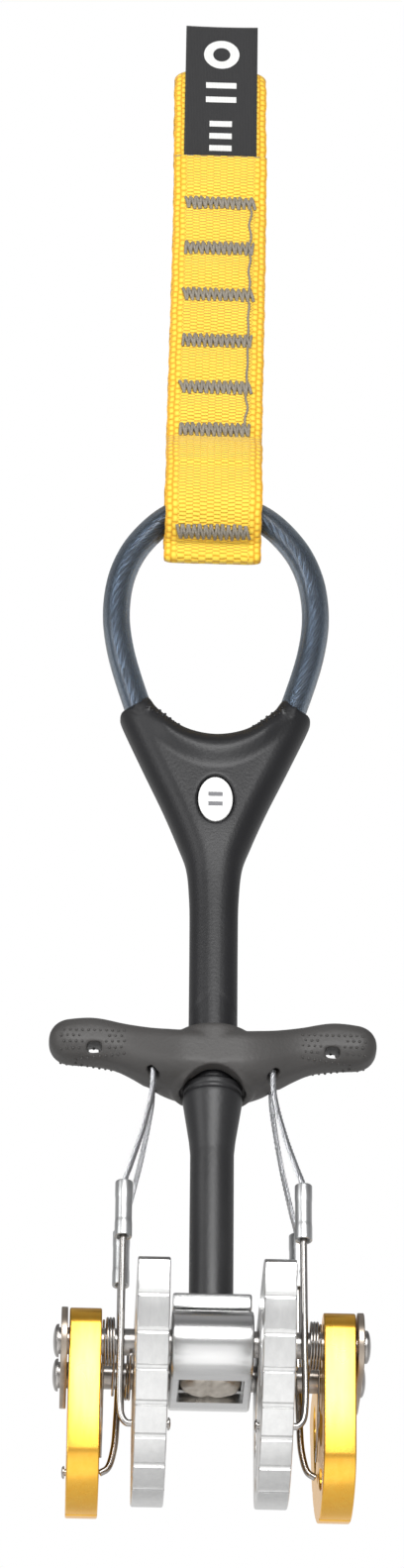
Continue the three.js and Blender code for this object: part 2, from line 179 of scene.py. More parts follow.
def setShader(material, inputs, height=None, depth=0.0):
    # height, where there is one, becomes a bump of that depth in metres
    tree = material.node_tree
    shader = tree.nodes["Principled BSDF"]
    for label, value in inputs.items():
        feed(tree, shader.inputs[label], value)
    if height is not None:
        relief = newNode(tree, "ShaderNodeBump", {"Strength": 1.0, "Distance": depth, "Height": height})
        tree.links.new(relief.outputs[0], shader.inputs["Normal"])
    return material


def metalMaterial(name, dark, light, roughness, stretch, scale, contrast, depth):
    material, tree, place = newMaterial(name)
    marks = useGroup(tree, toolMarks, Vector=place, stretch=stretch, scale=scale, contrast=contrast)
    grain = useGroup(tree, surfaceGrain, Vector=place, fineScale=3000.0, broadScale=160.0)
    colour = rampOf(tree, marks["mask"], [(0.25, dark), (0.75, light)])
    haze = mixColours(tree, mathNode(tree, "MULTIPLY", grain["mask"], 0.25), colour, (*dark, 1))
    rough = rangeOf(tree, grain["mask"], *roughness)
    both = mathNode(tree, "ADD", marks["height"], mathNode(tree, "MULTIPLY", grain["height"], 0.3))
    return setShader(material, {"Base Color": haze, "Roughness": rough, "Metallic": 1.0}, both, depth)


def plasticMaterial(name, dark, light, roughness, fineScale, depth):
    material, tree, place = newMaterial(name)
    grain = useGroup(tree, surfaceGrain, Vector=place, fineScale=fineScale, broadScale=70.0)
    marks = useGroup(tree, toolMarks, Vector=place, stretch=(1.0, 1.0, 0.12), scale=900.0, contrast=1.8)
    colour = rampOf(tree, grain["mask"], [(0.3, dark), (0.7, light)])
    scuff = mathNode(tree, "MULTIPLY", mathNode(tree, "GREATER_THAN", marks["mask"], 0.86), 0.35)
    worn = mixColours(tree, scuff, colour, (*[2.2 * c for c in light], 1))
    rough = rangeOf(tree, grain["mask"], *roughness)
    return setShader(material, {"Base Color": worn, "Roughness": rough}, grain["height"], depth)


# ---- mesh helpers
def newObject(name, mesh):
    obj = bpy.data.objects.new(name, mesh)
    scene.collection.objects.link(obj)
    return obj


def meshFrom(name, points, faces, smooth=True):
    mesh = bpy.data.meshes.new(name)
    mesh.from_pydata([tuple(p) for p in points], [], faces)
    mesh.update()
    mesh.polygons.foreach_set("use_smooth", [smooth] * len(mesh.polygons))
    return newObject(name, mesh)


def edited(obj, change=None):
    # the mesh with one change made to it, and every face turned outwards
    work = bmesh.new()
    work.from_mesh(obj.data)
    if change:
        change(work)
    bmesh.ops.recalc_face_normals(work, faces=work.faces)
    work.to_mesh(obj.data)
    work.free()
    return obj


def tidyMesh(obj):
    return edited(obj, lambda work: bmesh.ops.remove_doubles(work, verts=work.verts, dist=1e-4))


def settle(obj):
    # the modifiers' result becomes the piece's plain mesh
    bpy.context.view_layer.update()
    shaped = obj.evaluated_get(bpy.context.evaluated_depsgraph_get())
    mesh = bpy.data.meshes.new_from_object(shaped)
    for modifier in list(obj.modifiers):
        obj.modifiers.remove(modifier)
    if obj.type != "MESH":
        name = obj.name
        old = obj
        obj = bpy.data.objects.new(name + "_mesh", mesh)
        scene.collection.objects.link(obj)
        bpy.data.objects.remove(old)
        obj.name = name
    else:
        obj.data = mesh
    mesh.name = obj.name
    return obj


def sharpen(obj, angle):
    obj.data.shade_smooth()
    obj.data.set_sharp_from_angle(angle=math.radians(angle))
    return obj


def finishPiece(obj, body, material, nodes=(), inRow=False):
    if not inRow:
        obj.data.transform(toRow)
    obj.data.update()
    obj.data.materials.clear()
    obj.data.materials.append(material)
    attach(obj, body)
    if nodes:
        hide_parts(*nodes)
    return obj


def smoothRoute(points, perSpan=8):
    # a spline through all the points, which stays smooth where they are unevenly spaced
    pts = [Vector(p) for p in points]
    ends = [pts[0] * 2 - pts[1], *pts, pts[-1] * 2 - pts[-2]]
    route = []
    for i in range(1, len(ends) - 2):
        span = ends[i - 1 : i + 3]
        knots = [0.0]
        for a, b in zip(span, span[1:]):
            knots.append(knots[-1] + math.sqrt(max((b - a).length, 1e-6)))
        for step in range(perSpan):
            t = knots[1] + (knots[2] - knots[1]) * step / perSpan

            def blend(row, reach):
                pairs = zip(row, row[1:], knots, knots[reach:])
                return [a * ((tb - t) / (tb - ta)) + b * ((t - ta) / (tb - ta)) for a, b, ta, tb in pairs]

            first = blend(span, 1)
            second = blend(first, 2)
            ta, tb = knots[1], knots[2]
            route.append(second[0] * ((tb - t) / (tb - ta)) + second[1] * ((t - ta) / (tb - ta)))
    route.append(pts[-1])
    return route


def routeFrames(route):
    # directions that don't twist along the route
    frames = []
    normal = None
    for i, here in enumerate(route):
        ahead = route[min(i + 1, len(route) - 1)]
        behind = route[max(i - 1, 0)]
        forward = (ahead - behind).normalized()
        if normal is None:
            normal = forward.orthogonal().normalized()
        normal = (normal - forward * normal.dot(forward)).normalized()
        frames.append((here, normal, forward.cross(normal)))
    return frames


def tube(name, route, radius, sides, bore=0.0):
    # a bore makes it hollow
    frames = routeFrames(route)
    points, faces = [], []

    def addWall(size):
        first = len(points)
        for here, side, up in frames:
            for k in range(sides):
                turn = 2 * math.pi * k / sides
                points.append(here + side * (size * math.cos(turn)) + up * (size * math.sin(turn)))
        for i in range(len(frames) - 1):
            for k in range(sides):
                a = first + i * sides + k
                b = first + i * sides + (k + 1) % sides
                faces.append((a, b, b + sides, a + sides))
        return first

    outer = addWall(radius)
    last = (len(frames) - 1) * sides
    if bore:
        inner = addWall(bore)
        for offset in (0, last):
            wide, narrow = outer + offset, inner + offset
            for k in range(sides):
                k2 = (k + 1) % sides
                faces.append((wide + k, wide + k2, narrow + k2, narrow + k))
    else:
        faces.append(tuple(range(sides)))
        faces.append(tuple(range(last, last + sides)))
    return sharpen(tidyMesh(meshFrom(name, points, faces)), 50)


def spun(name, profile, axis="Z", steps=48, place=(0, 0, 0)):
    # profile holds (radius, distance along the axis); a radius of zero closes the end
    points, faces = [], []
    for k in range(steps):
        turn = 2 * math.pi * k / steps
        for radius, along in profile:
            a, b = radius * math.cos(turn), radius * math.sin(turn)
            points.append(Vector((a, b, along)) if axis == "Z" else Vector((along, a, b)))
    count = len(profile)
    for k in range(steps):
        k2 = (k + 1) % steps
        for i in range(count - 1):
            faces.append((k * count + i, k2 * count + i, k2 * count + i + 1, k * count + i + 1))
    return sharpen(tidyMesh(meshFrom(name, [p + Vector(place) for p in points], faces)), 40)


def roundedProfile(corners, radius, steps=4):
    # corners of a turned profile with a small round at each inner corner
    result = [corners[0]]
    for before, here, after in zip(corners, corners[1:], corners[2:]):
        p, a, b = Vector(here), Vector(before), Vector(after)
        cut = min(radius, (a - p).length / 2.2, (b - p).length / 2.2)
        start = p + (a - p).normalized() * cut
        end = p + (b - p).normalized() * cut
        for step in range(steps + 1):
            t = step / steps
            mid = start.lerp(p, t).lerp(p.lerp(end, t), t)
            result.append((mid.x, mid.y))
    result.append(corners[-1])
    return result


def cutOut(name, loops, low, high, bevel, bevelSteps=2, normalAxis="X"):
    # a flat outline with its holes, pushed along an axis, with rounded rims
    curve = bpy.data.curves.new(name, "CURVE")
    curve.dimensions = "2D"
    curve.fill_mode = "BOTH"
    curve.extrude = (high - low) / 2 - bevel
    curve.bevel_depth = bevel
    curve.bevel_resolution = bevelSteps
    curve.offset = -bevel
    for loop in loops:
        spline = curve.splines.new("POLY")
        spline.points.add(len(loop) - 1)
        for point, (a, b) in zip(spline.points, loop):
            point.co = (a, b, 0, 1)
        spline.use_cyclic_u = True
    obj = settle(newObject(name, curve))
    middle = (low + high) / 2
    if normalAxis == "X":
        turn = Matrix(((0, 0, 1, middle), (1, 0, 0, 0), (0, 1, 0, 0), (0, 0, 0, 1)))
    else:
        turn = Matrix(((1, 0, 0, 0), (0, 0, -1, middle), (0, 1, 0, 0), (0, 0, 0, 1)))
    obj.data.transform(turn)
    sharpen(tidyMesh(obj), 30)
    # the two large faces stay dead flat, whatever the rim does
    axis = 0 if normalAxis == "X" else 1
    for polygon in obj.data.polygons:
        polygon.use_smooth = abs(polygon.normal[axis]) < 0.999
    return obj


def circleLoop(radius, a=0.0, b=0.0, steps=40):
    turns = [2 * math.pi * k / steps for k in range(steps)]
    return [(a + radius * math.cos(t), b + radius * math.sin(t)) for t in turns]


def obroundLoop(radius, reach, steps=20):
    loop = []
    for centre, begin in ((reach, -math.pi / 2), (-reach, math.pi / 2)):
        for k in range(steps + 1):
            t = begin + math.pi * k / steps
            loop.append((centre + radius * math.cos(t), radius * math.sin(t)))
    return loop


def block(name, low, high):
    corners = [(x, y, z) for x in (low[0], high[0]) for y in (low[1], high[1]) for z in (low[2], high[2])]
    faces = [(0, 1, 3, 2), (4, 6, 7, 5), (0, 4, 5, 1), (2, 3, 7, 6), (0, 2, 6, 4), (1, 5, 7, 3)]
    return tidyMesh(meshFrom(name, corners, faces, False))


def combine(obj, others, operation):
    for other in others:
        modifier = obj.modifiers.new(operation.lower(), "BOOLEAN")
        modifier.operation = operation
        modifier.solver = "EXACT"
        modifier.object = other
    obj = settle(obj)
    for other in others:
        bpy.data.objects.remove(other)
    return obj


def joined(obj, others):
    # put side by side in one mesh; mouldedSkin then melts them together
    work = bmesh.new()
    for part in (obj, *others):
        work.from_mesh(part.data)
    work.to_mesh(obj.data)
    work.free()
    for other in others:
        bpy.data.objects.remove(other)
    return obj


def mouldedSkin(obj, voxel, smoothing):
    # one even skin over joined shapes, with its sharp corners eased as in a moulding
    remesh = obj.modifiers.new("skin", "REMESH")
    remesh.mode = "VOXEL"
    remesh.voxel_size = voxel
    remesh.use_smooth_shade = True
    ease = obj.modifiers.new("ease", "SMOOTH")
    ease.factor = 0.5
    ease.iterations = smoothing
    return settle(obj)


def mirrored(obj, axis):
    obj.data.transform(Matrix.Scale(-1, 4, axis))
    obj.data.flip_normals()


def smoothStep(low, high, value):
    t = min(max((value - low) / (high - low), 0.0), 1.0)
    return t * t * (3 - 2 * t)


# ---- camera, light and backdrop
studio = {
    "aim": (-2.3, 0.0, 113.86),
    "distance": 0.900,
    "azimuth": -1.8,
    "elevation": -31.0,
    "roll": 0.5,
    "lens": 114.2,
    "floorDrop": 0.95,
    "floorGlow": 0.28,
    "keyPower": 8.0,
    "sidePower": 2.5,
    "underPower": 3.2,
    "lampDistance": 0.9,
    "skyStrength": 0.8,
}


def rowPoint(x, y, z):
    return toRow @ Vector((x, y, z))


def viewAxes(azimuth, elevation, roll):
    a, e, r = (math.radians(v) for v in (azimuth, elevation, roll))
    out = Vector((math.sin(a) * math.cos(e), -math.cos(a) * math.cos(e), math.sin(e)))
    right = Vector((0, 0, 1)).cross(out).normalized()
    up = out.cross(right)
    return right * math.cos(r) + up * math.sin(r), up * math.cos(r) - right * math.sin(r), out


def aimAt(name, data, target, azimuth, elevation, distance, roll=0):
    # a camera or a lamp, hung out from the target and looking back at it
    obj = newObject(name, data)
    right, up, out = viewAxes(azimuth, elevation, roll)
    turn = Matrix((right, up, out)).transposed().to_4x4()
    obj.matrix_world = Matrix.Translation(target + out * distance) @ turn
    return obj


def addCamera():
    data = bpy.data.cameras.new("camera")
    data.lens = studio["lens"]
    data.sensor_width = 36
    data.clip_start = 0.01
    view = (studio["azimuth"], studio["elevation"], studio["distance"], studio["roll"])
    scene.camera = aimAt("camera", data, rowPoint(*studio["aim"]), *view)


def addSoftbox(name, azimuth, elevation, size, power):
    data = bpy.data.lights.new(name, "AREA")
    data.shape = "RECTANGLE"
    data.size, data.size_y = size
    data.energy = power
    aimAt(name, data, rowPoint(0, 0, 100), azimuth, elevation, studio["lampDistance"])


def addSky():
    world = bpy.data.worlds.new("studio")
    world.use_nodes = True
    scene.world = world
    tree = world.node_tree
    tree.nodes.clear()
    coords = newNode(tree, "ShaderNodeTexCoord")
    split = newNode(tree, "ShaderNodeSeparateXYZ", {0: coords.outputs["Generated"]})
    # the front of the room is dimmer than the white sweep behind, and a dim band
    # overhead gives the metal its darker stripes
    sweep = rampOf(tree, split.outputs["Y"], [(0.0, (0.42, 0.42, 0.43)), (0.9, (1, 1, 1))])
    stripes = [(0.45, (1, 1, 1)), (0.6, (0.35, 0.35, 0.35)), (0.8, (0.3, 0.3, 0.3)), (0.98, (1, 1, 1))]
    ceiling = rampOf(tree, split.outputs["Z"], stripes)
    shade = mixColours(tree, 1.0, sweep, ceiling, "MULTIPLY")
    glow = newNode(tree, "ShaderNodeBackground", {"Color": shade, "Strength": studio["skyStrength"]})
    plain = newNode(tree, "ShaderNodeBackground", {"Color": (1, 1, 1, 1)})
    seen = newNode(tree, "ShaderNodeLightPath").outputs["Is Camera Ray"]
    mix = newNode(tree, "ShaderNodeMixShader", {0: seen, 1: glow.outputs[0], 2: plain.outputs[0]})
    newNode(tree, "ShaderNodeOutputWorld", {"Surface": mix.outputs[0]})


def addFloor():
    half = 2.5
    level = headCentre.z - studio["floorDrop"]
    corners = [(-half, -half, level), (half, -half, level), (half, half, level), (-half, half, level)]
    floor = meshFrom("floor", corners, [(0, 1, 2, 3)], False)
    paint = bpy.data.materials.new("paleFloor")
    paint.use_nodes = True
    # the glow stands in for the light that a small room would throw back on the floor
    setShader(paint, {
        "Base Color": (0.9, 0.9, 0.9, 1),
        "Roughness": 0.8,
        "Emission Color": (1, 1, 1, 1),
        "Emission Strength": studio["floorGlow"],
    })
    floor.data.materials.append(paint)


addCamera()
addSky()
addFloor()
addSoftbox("key", 3, 9, (0.6, 0.46), studio["keyPower"])
addSoftbox("side", -55, 5, (0.3, 0.8), studio["sidePower"])
addSoftbox("under", -10, -66, (1.6, 1.2), studio["underPower"])
scene.view_settings.view_transform = "Standard"
print("stage ready")


# ---- geometry nodes: trees with named inputs
def newTree(name, **inputs):
    tree = bpy.data.node_groups.new(name, "GeometryNodeTree")
    tree.interface.new_socket("Geometry", in_out="INPUT", socket_type="NodeSocketGeometry")
    for label, value in inputs.items():
        socket = tree.interface.new_socket(label, in_out="INPUT", socket_type=socketKinds[type(value)])
        socket.default_value = value
    tree.interface.new_socket("material", in_out="INPUT", socket_type="NodeSocketMaterial")
    tree.interface.new_socket("Geometry", in_out="OUTPUT", socket_type="NodeSocketGeometry")
    return tree, newNode(tree, "NodeGroupInput").outputs


def closeTree(tree, given, geometry, smooth=False):
    real = newNode(tree, "GeometryNodeRealizeInstances", {0: geometry}).outputs[0]
    if smooth:
        real = newNode(tree, "GeometryNodeSetShadeSmooth", {0: real}).outputs[0]
    paint = newNode(tree, "GeometryNodeSetMaterial", {"Geometry": real, "Material": given["material"]})
    newNode(tree, "NodeGroupOutput", {0: paint.outputs[0]})
    return tree


def grow(obj, tree, **values):
    modifier = obj.modifiers.new(tree.name, "NODES")
    modifier.node_group = tree
    names = {item.name: item.identifier for item in tree.interface.items_tree if item.in_out == "INPUT"}
    for label, value in values.items():
        modifier[names[label]] = value
    return settle(obj)


def keepField(tree, geometry, name, field):
    sockets = {"Geometry": geometry, "Name": name, "Value": field}
    keep = newNode(tree, "GeometryNodeStoreNamedAttribute", sockets, data_type="FLOAT", domain="POINT")
    return keep.outputs[0]


def circleOf(tree, resolution, radius):
    sockets = {"Resolution": resolution, "Radius": radius}
    return newNode(tree, "GeometryNodeCurvePrimitiveCircle", sockets).outputs[0]


def sweepOf(tree, curve, profile):
    sockets = {"Curve": curve, "Profile Curve": profile, "Fill Caps": True}
    return newNode(tree, "GeometryNodeCurveToMesh", sockets).outputs[0]


def placeOn(tree, points, instance, **extra):
    sockets = {"Points": points, "Instance": instance, **extra}
    return newNode(tree, "GeometryNodeInstanceOnPoints", sockets).outputs[0]


def axisVector(tree, axis, value):
    return newNode(tree, "ShaderNodeCombineXYZ", {axis: value}).outputs[0]


def makeRopeTree():
    # strands laid round the route of a cable
    tree, given = newTree(
        "layStrands", strandCount=6, strandRadius=0.00045, layRadius=0.0009, layLength=0.012
    )
    along = newNode(tree, "GeometryNodeSplineParameter").outputs["Length"]
    turns = mathNode(tree, "DIVIDE", along, given["layLength"])
    twist = {"Curve": given["Geometry"], "Tilt": mathNode(tree, "MULTIPLY", turns, 2 * math.pi)}
    tilted = newNode(tree, "GeometryNodeSetCurveTilt", twist).outputs[0]
    route = keepField(tree, tilted, "along", along)
    around = newNode(tree, "GeometryNodeSplineParameter").outputs["Factor"]
    strand = keepField(tree, circleOf(tree, 10, given["strandRadius"]), "around", around)
    lay = placeOn(tree, circleOf(tree, given["strandCount"], given["layRadius"]), strand)
    section = newNode(tree, "GeometryNodeRealizeInstances", {0: lay}).outputs[0]
    return closeTree(tree, given, sweepOf(tree, route, section))


def makeStitchTree():
    # a bar of zigzag thread at each point that it is given
    tree, given = newTree(
        "sewBars", barLength=0.0128, barHeight=0.0030, stitchCount=25, threadRadius=0.00032,
        crown=-0.0004, zigzag=0.19, slant=-0.1, seed=3,
    )
    length = given["barLength"]
    stride = mathNode(tree, "DIVIDE", length, mathNode(tree, "SUBTRACT", given["stitchCount"], 1.0))
    begin = axisVector(tree, "X", mathNode(tree, "MULTIPLY", length, -0.5))
    line = {"Count": given["stitchCount"], "Start Location": begin, "Offset": axisVector(tree, "X", stride)}
    row = newNode(tree, "GeometryNodeMeshLine", line).outputs[0]
    rows = placeOn(tree, given["Geometry"], row)
    spots = newNode(tree, "GeometryNodeRealizeInstances", {0: rows}).outputs[0]
    # one stitch is a thread that arches from the foot of the bar to its head
    half = mathNode(tree, "MULTIPLY", given["barHeight"], 0.5)
    bend = {
        "Resolution": 6,
        "Start": axisVector(tree, "Z", mathNode(tree, "MULTIPLY", half, -1.0)),
        "Middle": axisVector(tree, "Y", mathNode(tree, "MULTIPLY", given["crown"], 2.0)),
        "End": axisVector(tree, "Z", half),
    }
    arch = newNode(tree, "GeometryNodeCurveQuadraticBezier", bend).outputs[0]
    thread = sweepOf(tree, arch, circleOf(tree, 7, given["threadRadius"]))
    # every second stitch leans the other way
    parity = mathNode(tree, "MODULO", newNode(tree, "GeometryNodeInputIndex").outputs[0], 2.0)
    signed = mathNode(tree, "SUBTRACT", mathNode(tree, "MULTIPLY", parity, 2.0), 1.0)
    lean = mathNode(tree, "ADD", mathNode(tree, "MULTIPLY", signed, given["zigzag"]), given["slant"])
    sway = {2: -0.06, 3: 0.06, "Seed": given["seed"]}
    loose = newNode(tree, "FunctionNodeRandomValue", sway, data_type="FLOAT")
    turn = axisVector(tree, "Y", mathNode(tree, "ADD", lean, loose.outputs[1]))
    spread = {0: (0.9, 0.85, 0.84), 1: (1.1, 1.15, 1.04), "Seed": given["seed"]}
    size = newNode(tree, "FunctionNodeRandomValue", spread, data_type="FLOAT_VECTOR").outputs[0]
    return closeTree(tree, given, placeOn(tree, spots, thread, Rotation=turn, Scale=size))


def makeStudTree():
    # a small round stud at each point, sunk into the surface by half
    tree, given = newTree("raiseStuds", studRadius=0.0003, unevenness=0.12, seed=5)
    sockets = {"Subdivisions": 2, "Radius": given["studRadius"]}
    ball = newNode(tree, "GeometryNodeMeshIcoSphere", sockets).outputs[0]
    low = mathNode(tree, "SUBTRACT", 1.0, given["unevenness"])
    high = mathNode(tree, "ADD", 1.0, given["unevenness"])
    sockets = {2: low, 3: high, "Seed": given["seed"]}
    size = newNode(tree, "FunctionNodeRandomValue", sockets, data_type="FLOAT").outputs[1]
    return closeTree(tree, given, placeOn(tree, given["Geometry"], ball, Scale=size), smooth=True)


layStrands = makeRopeTree()
sewBars = makeStitchTree()
raiseStuds = makeStudTree()


def pointCloud(name, places):
    return meshFrom(name, places, [], False)


def layCable(name, route, material, **sizes):
    curve = bpy.data.curves.new(name, "CURVE")
    curve.dimensions = "3D"
    spline = curve.splines.new("POLY")
    spline.points.add(len(route) - 1)
    for point, here in zip(spline.points, route):
        point.co = (*(toRow @ here), 1)
    obj = grow(newObject(name, curve), layStrands, material=material, **sizes)
    obj.data.shade_smooth()
    return obj


# ---- sling: one length of webbing, folded and sewn
sling = {
    "webbingWidth": 18.0,
    "webbingThickness": 1.2,
    "layerPitch": 1.3,
    "frontEnd": 255.2,
    "pinch": 163.1,
    "tunnelCentre": 173.4,
    "tunnelRadius": 6.45,
    "eyeCentre": (3.9, 275.95),
    "eyeRadius": 3.9,
    "bars": (244.3, 233.3, 222.2, 211.3, 200.4, 190.6),
    "foldBar": 166.9,
    "yarn": (0.97, 0.70, 0.072),
    "yarnShade": (0.78, 0.37, 0.006),
    "thread": (0.25, 0.222, 0.18),
    "eyeDroop": 1.3,
    "stitchFace": 1.97,
    "threadCrown": 0.0005,
}


def bezierPoints(*corners, steps=16):
    result = []
    for k in range(1, steps + 1):
        row = [Vector(p) for p in corners]
        while len(row) > 1:
            row = [p.lerp(q, k / steps) for p, q in zip(row, row[1:])]
        result.append(row[0])
    return result


def arcPoints(centre, radius, begin, end, steps=16):
    turns = [math.radians(begin + (end - begin) * k / steps) for k in range(steps + 1)]
    return [Vector((centre[0] + radius * math.cos(t), centre[1] + radius * math.sin(t))) for t in turns]


def slingPath():
    # (depth, height) of the middle of the webbing, from its front end to its hidden end
    pitch, out, middle = sling["layerPitch"], sling["tunnelRadius"], sling["tunnelCentre"]
    half = pitch / 2
    eyeY, eyeZ = sling["eyeCentre"]
    outerEye = eyeY + sling["eyeRadius"]
    return [
        Vector((-2.3, sling["frontEnd"])),
        Vector((-2.3, 248.5)),
        *bezierPoints((-2.3, 248.5), (-2.3, 246), (-pitch, 246), (-pitch, 243)),
        Vector((-pitch, 189)),
        *bezierPoints((-pitch, 189), (-out, 182), (-out, middle)),
        *bezierPoints((-out, middle), (-out, 167.5), (-half, 166)),
        *arcPoints((0, sling["pinch"]), half, 180, 360),
        *bezierPoints((half, 166), (out, 167.5), (out, middle)),
        *bezierPoints((out, middle), (out, 182), (pitch, 189)),
        Vector((pitch, 244.5)),
        *bezierPoints((pitch, 244.5), (pitch, 258), (outerEye, 262), (outerEye, eyeZ)),
        *arcPoints((eyeY, eyeZ), sling["eyeRadius"], 0, 180, 24),
        Vector((0, 246)),
        Vector((0, 189.6)),
    ]


def evenSteps(path, step):
    result, carried = [path[0]], 0.0
    for a, b in zip(path, path[1:]):
        length = (b - a).length
        if length < 1e-6:
            continue
        while carried + length >= step:
            share = (step - carried) / length
            a = a.lerp(b, share)
            length = (b - a).length
            carried = 0.0
            result.append(a)
        carried += length
    result.append(path[-1])
    return result


def slingDrift(height):
    # the sling leans a little over its length
    return 0.2 - 0.95 * smoothStep(255, 165, height)


def clothSheet(name, points, faces, spots):
    # spots says where each point lies on the flat cloth
    obj = meshFrom(name, points, faces)
    layer = obj.data.uv_layers.new(name="cloth")
    for loop in obj.data.loops:
        across, along = spots[loop.vertex_index]
        layer.data[loop.index].uv = (across * mm, along * mm)
    return edited(obj)


def clothPlace(tree):
    uv = newNode(tree, "ShaderNodeUVMap", uv_map="cloth").outputs[0]
    split = newNode(tree, "ShaderNodeSeparateXYZ", {0: uv}).outputs
    return split["X"], split["Y"]


def addWebbing(material):
    path = evenSteps(slingPath(), 0.8)
    half, thick = sling["webbingWidth"] / 2, sling["webbingThickness"] / 2
    gaps = 26
    columns = [half * math.sin(math.pi / 2 * (2 * k / gaps - 1)) for k in range(gaps + 1)]
    points, spots = [], []
    travelled = 0.0
    for i, here in enumerate(path):
        ahead, behind = path[min(i + 1, len(path) - 1)], path[max(i - 1, 0)]
        run = (ahead - behind).normalized()
        normal = Vector((run.y, -run.x))
        travelled += (here - path[i - 1]).length if i else 0.0
        width = 1 + 0.008 * math.sin(travelled * 0.55) + 0.006 * math.sin(travelled * 1.7 + 1)
        # the sewn layers puff out between the bars, and sit tight under them
        sewn = 180 < here.y < 246 and abs(here.x) > 1
        near = min(abs(here.y - bar) for bar in sling["bars"])
        puff = 0.5 * smoothStep(0.4, 5.0, near) if sewn else 0.0
        droop = sling["eyeDroop"] * smoothStep(272, 280, here.y)
        for face, row in ((1, columns), (-1, columns[::-1])):
            for x in row:
                share = abs(x) / half
                edge = math.sqrt(max(1 - share**10, 0.0))
                swell = puff * (1 - share**4) * math.copysign(1, here.x)
                wave = 0.05 * math.sin(x * 1.3 + travelled * 0.9)
                depth, height = here + normal * (face * thick * (0.12 + 0.88 * edge))
                depth += swell + wave * edge * 0.5
                points.append(Vector((x * width + slingDrift(here.y), depth, height - droop * share**6)))
                spots.append((x, travelled))
    size = 2 * len(columns)
    faces = []
    for i in range(len(path) - 1):
        for k in range(size):
            a, b = i * size + k, i * size + (k + 1) % size
            faces.append((a, b, b + size, a + size))
    for first in (0, (len(path) - 1) * size):
        for k in range(gaps):
            a, b = first + k, first + size - 2 - k
            faces.append((a, a + 1, b, b + 1))
    obj = clothSheet("sling_webbing", points, faces, spots)
    finishPiece(obj, "sling", material, ["sling_strap"])


def webbingMaterial():
    material, tree, place = newMaterial("yellowWebbing")
    across, along = clothPlace(tree)
    drift = useGroup(tree, surfaceGrain, Vector=place, fineScale=700.0, broadScale=260.0)
    wander = mathNode(tree, "MULTIPLY_ADD", drift["mask"], 0.0006, along)
    ribSize = {"columnWidth": 0.0013, "pickLength": 0.00072, "columnDepth": 0.06}
    braidSize = {"columnWidth": 0.0011, "pickLength": 0.0013}
    ribs = useGroup(tree, wovenYarns, across=across, along=wander, **ribSize)["height"]
    braid = useGroup(tree, wovenYarns, across=across, along=along, **braidSize)["height"]
    offMiddle = mathNode(tree, "ABSOLUTE", across)
    inBraid = mathNode(tree, "GREATER_THAN", offMiddle, 0.0067)
    weave = newNode(tree, "ShaderNodeMix", {0: inBraid, 2: ribs, 3: braid}, data_type="FLOAT").outputs[0]
    fibres = useGroup(tree, toolMarks, Vector=place, stretch=(1.0, 1.0, 0.35), scale=2600.0, contrast=1.3)
    wide = useGroup(tree, surfaceGrain, Vector=place, fineScale=1500.0, broadScale=120.0)
    height = mathNode(tree, "ADD", weave, mathNode(tree, "MULTIPLY", fibres["height"], 0.35))
    light, dark = sling["yarn"], sling["yarnShade"]
    tone = rampOf(tree, weave, [(0.25, dark), (0.9, light)])
    tone = mixColours(tree, mathNode(tree, "MULTIPLY", wide["mask"], 0.3), tone, (*dark, 1))
    # painted shade along the rounded edges: the outermost band on each side is mixed a little towards the
    # shade colour
    outer = mathNode(tree, "GREATER_THAN", offMiddle, 0.0084)
    tone = mixColours(tree, mathNode(tree, "MULTIPLY", outer, 0.3), tone, (*dark, 1))
    look = {"Base Color": tone, "Roughness": 0.7, "Sheen Weight": 0.25, "Sheen Roughness": 0.4}
    return setShader(material, look, height, 0.00022)


def threadMaterial(name, colour):
    material, tree, place = newMaterial(name)
    twist = useGroup(tree, toolMarks, Vector=place, scale=3500.0, contrast=1.6)
    tones = [(0.2, [0.55 * c for c in colour]), (0.8, [1.35 * c for c in colour])]
    look = {"Base Color": rampOf(tree, twist["mask"], tones), "Roughness": 0.6}
    return setShader(material, look, twist["height"], 0.00008)


def sewn(name, places, sign, seed, material):
    cloud = pointCloud(name, places)
    obj = grow(cloud, sewBars, crown=sign * sling["threadCrown"], material=material, seed=seed)
    obj.data.shade_smooth()
    return obj


def addFoldBar(label, sign, material):
    # the bar that closes the fold lies on the slope under the thumb loop
    low = [p for p in slingPath() if sign * p.x > 1.2 and p.y < sling["tunnelCentre"] - 3]
    spot = min(low, key=lambda p: abs(p.y - sling["foldBar"]))
    other = min((p for p in low if p != spot), key=lambda p: (p - spot).length)
    slope = math.atan2(abs(other.x - spot.x), abs(other.y - spot.y)) * sign
    lift = sling["webbingThickness"] / 2 + 0.05
    depth = spot.x + sign * lift * math.cos(slope)
    place = rowPoint(slingDrift(spot.y), depth, spot.y - lift * abs(math.sin(slope)))
    obj = sewn(f"fold_bar_{label}", [(0, 0, 0)], sign, 11, material)
    obj.data.transform(Matrix.Translation(place) @ Matrix.Rotation(-slope, 4, "X"))
    finishPiece(obj, "sling", material, inRow=True)


def addStitches(material):
    face, bars = sling["stitchFace"], sling["bars"]
    for label, sign, seed in (("front", -1, 7), ("back", 1, 8)):
        places = [rowPoint(slingDrift(z), sign * face, z) for z in bars]
        obj = sewn(f"bar_stitches_{label}", places, sign, seed, material)
        finishPiece(obj, "sling", material, inRow=True)
        addFoldBar(label, sign, material)
    # the thread carried from bar to bar down one side
    side = 5.9
    route = []
    for upper, lower in zip(bars, bars[1:]):
        for share in (0.0, 0.25, 0.5, 0.75):
            z = upper + (lower - upper) * share
            lift = 0.5 * smoothStep(0.0, 0.5, min(share, 1 - share) * 2)
            route.append((side + slingDrift(z) + 0.25 * math.sin(z * 1.1), -(face + lift), z))
    route.append((side + slingDrift(bars[-1]), -face, bars[-1]))
    line = tube("carried_thread", smoothRoute(route, 4), 0.22, 8)
    finishPiece(line, "sling", material)


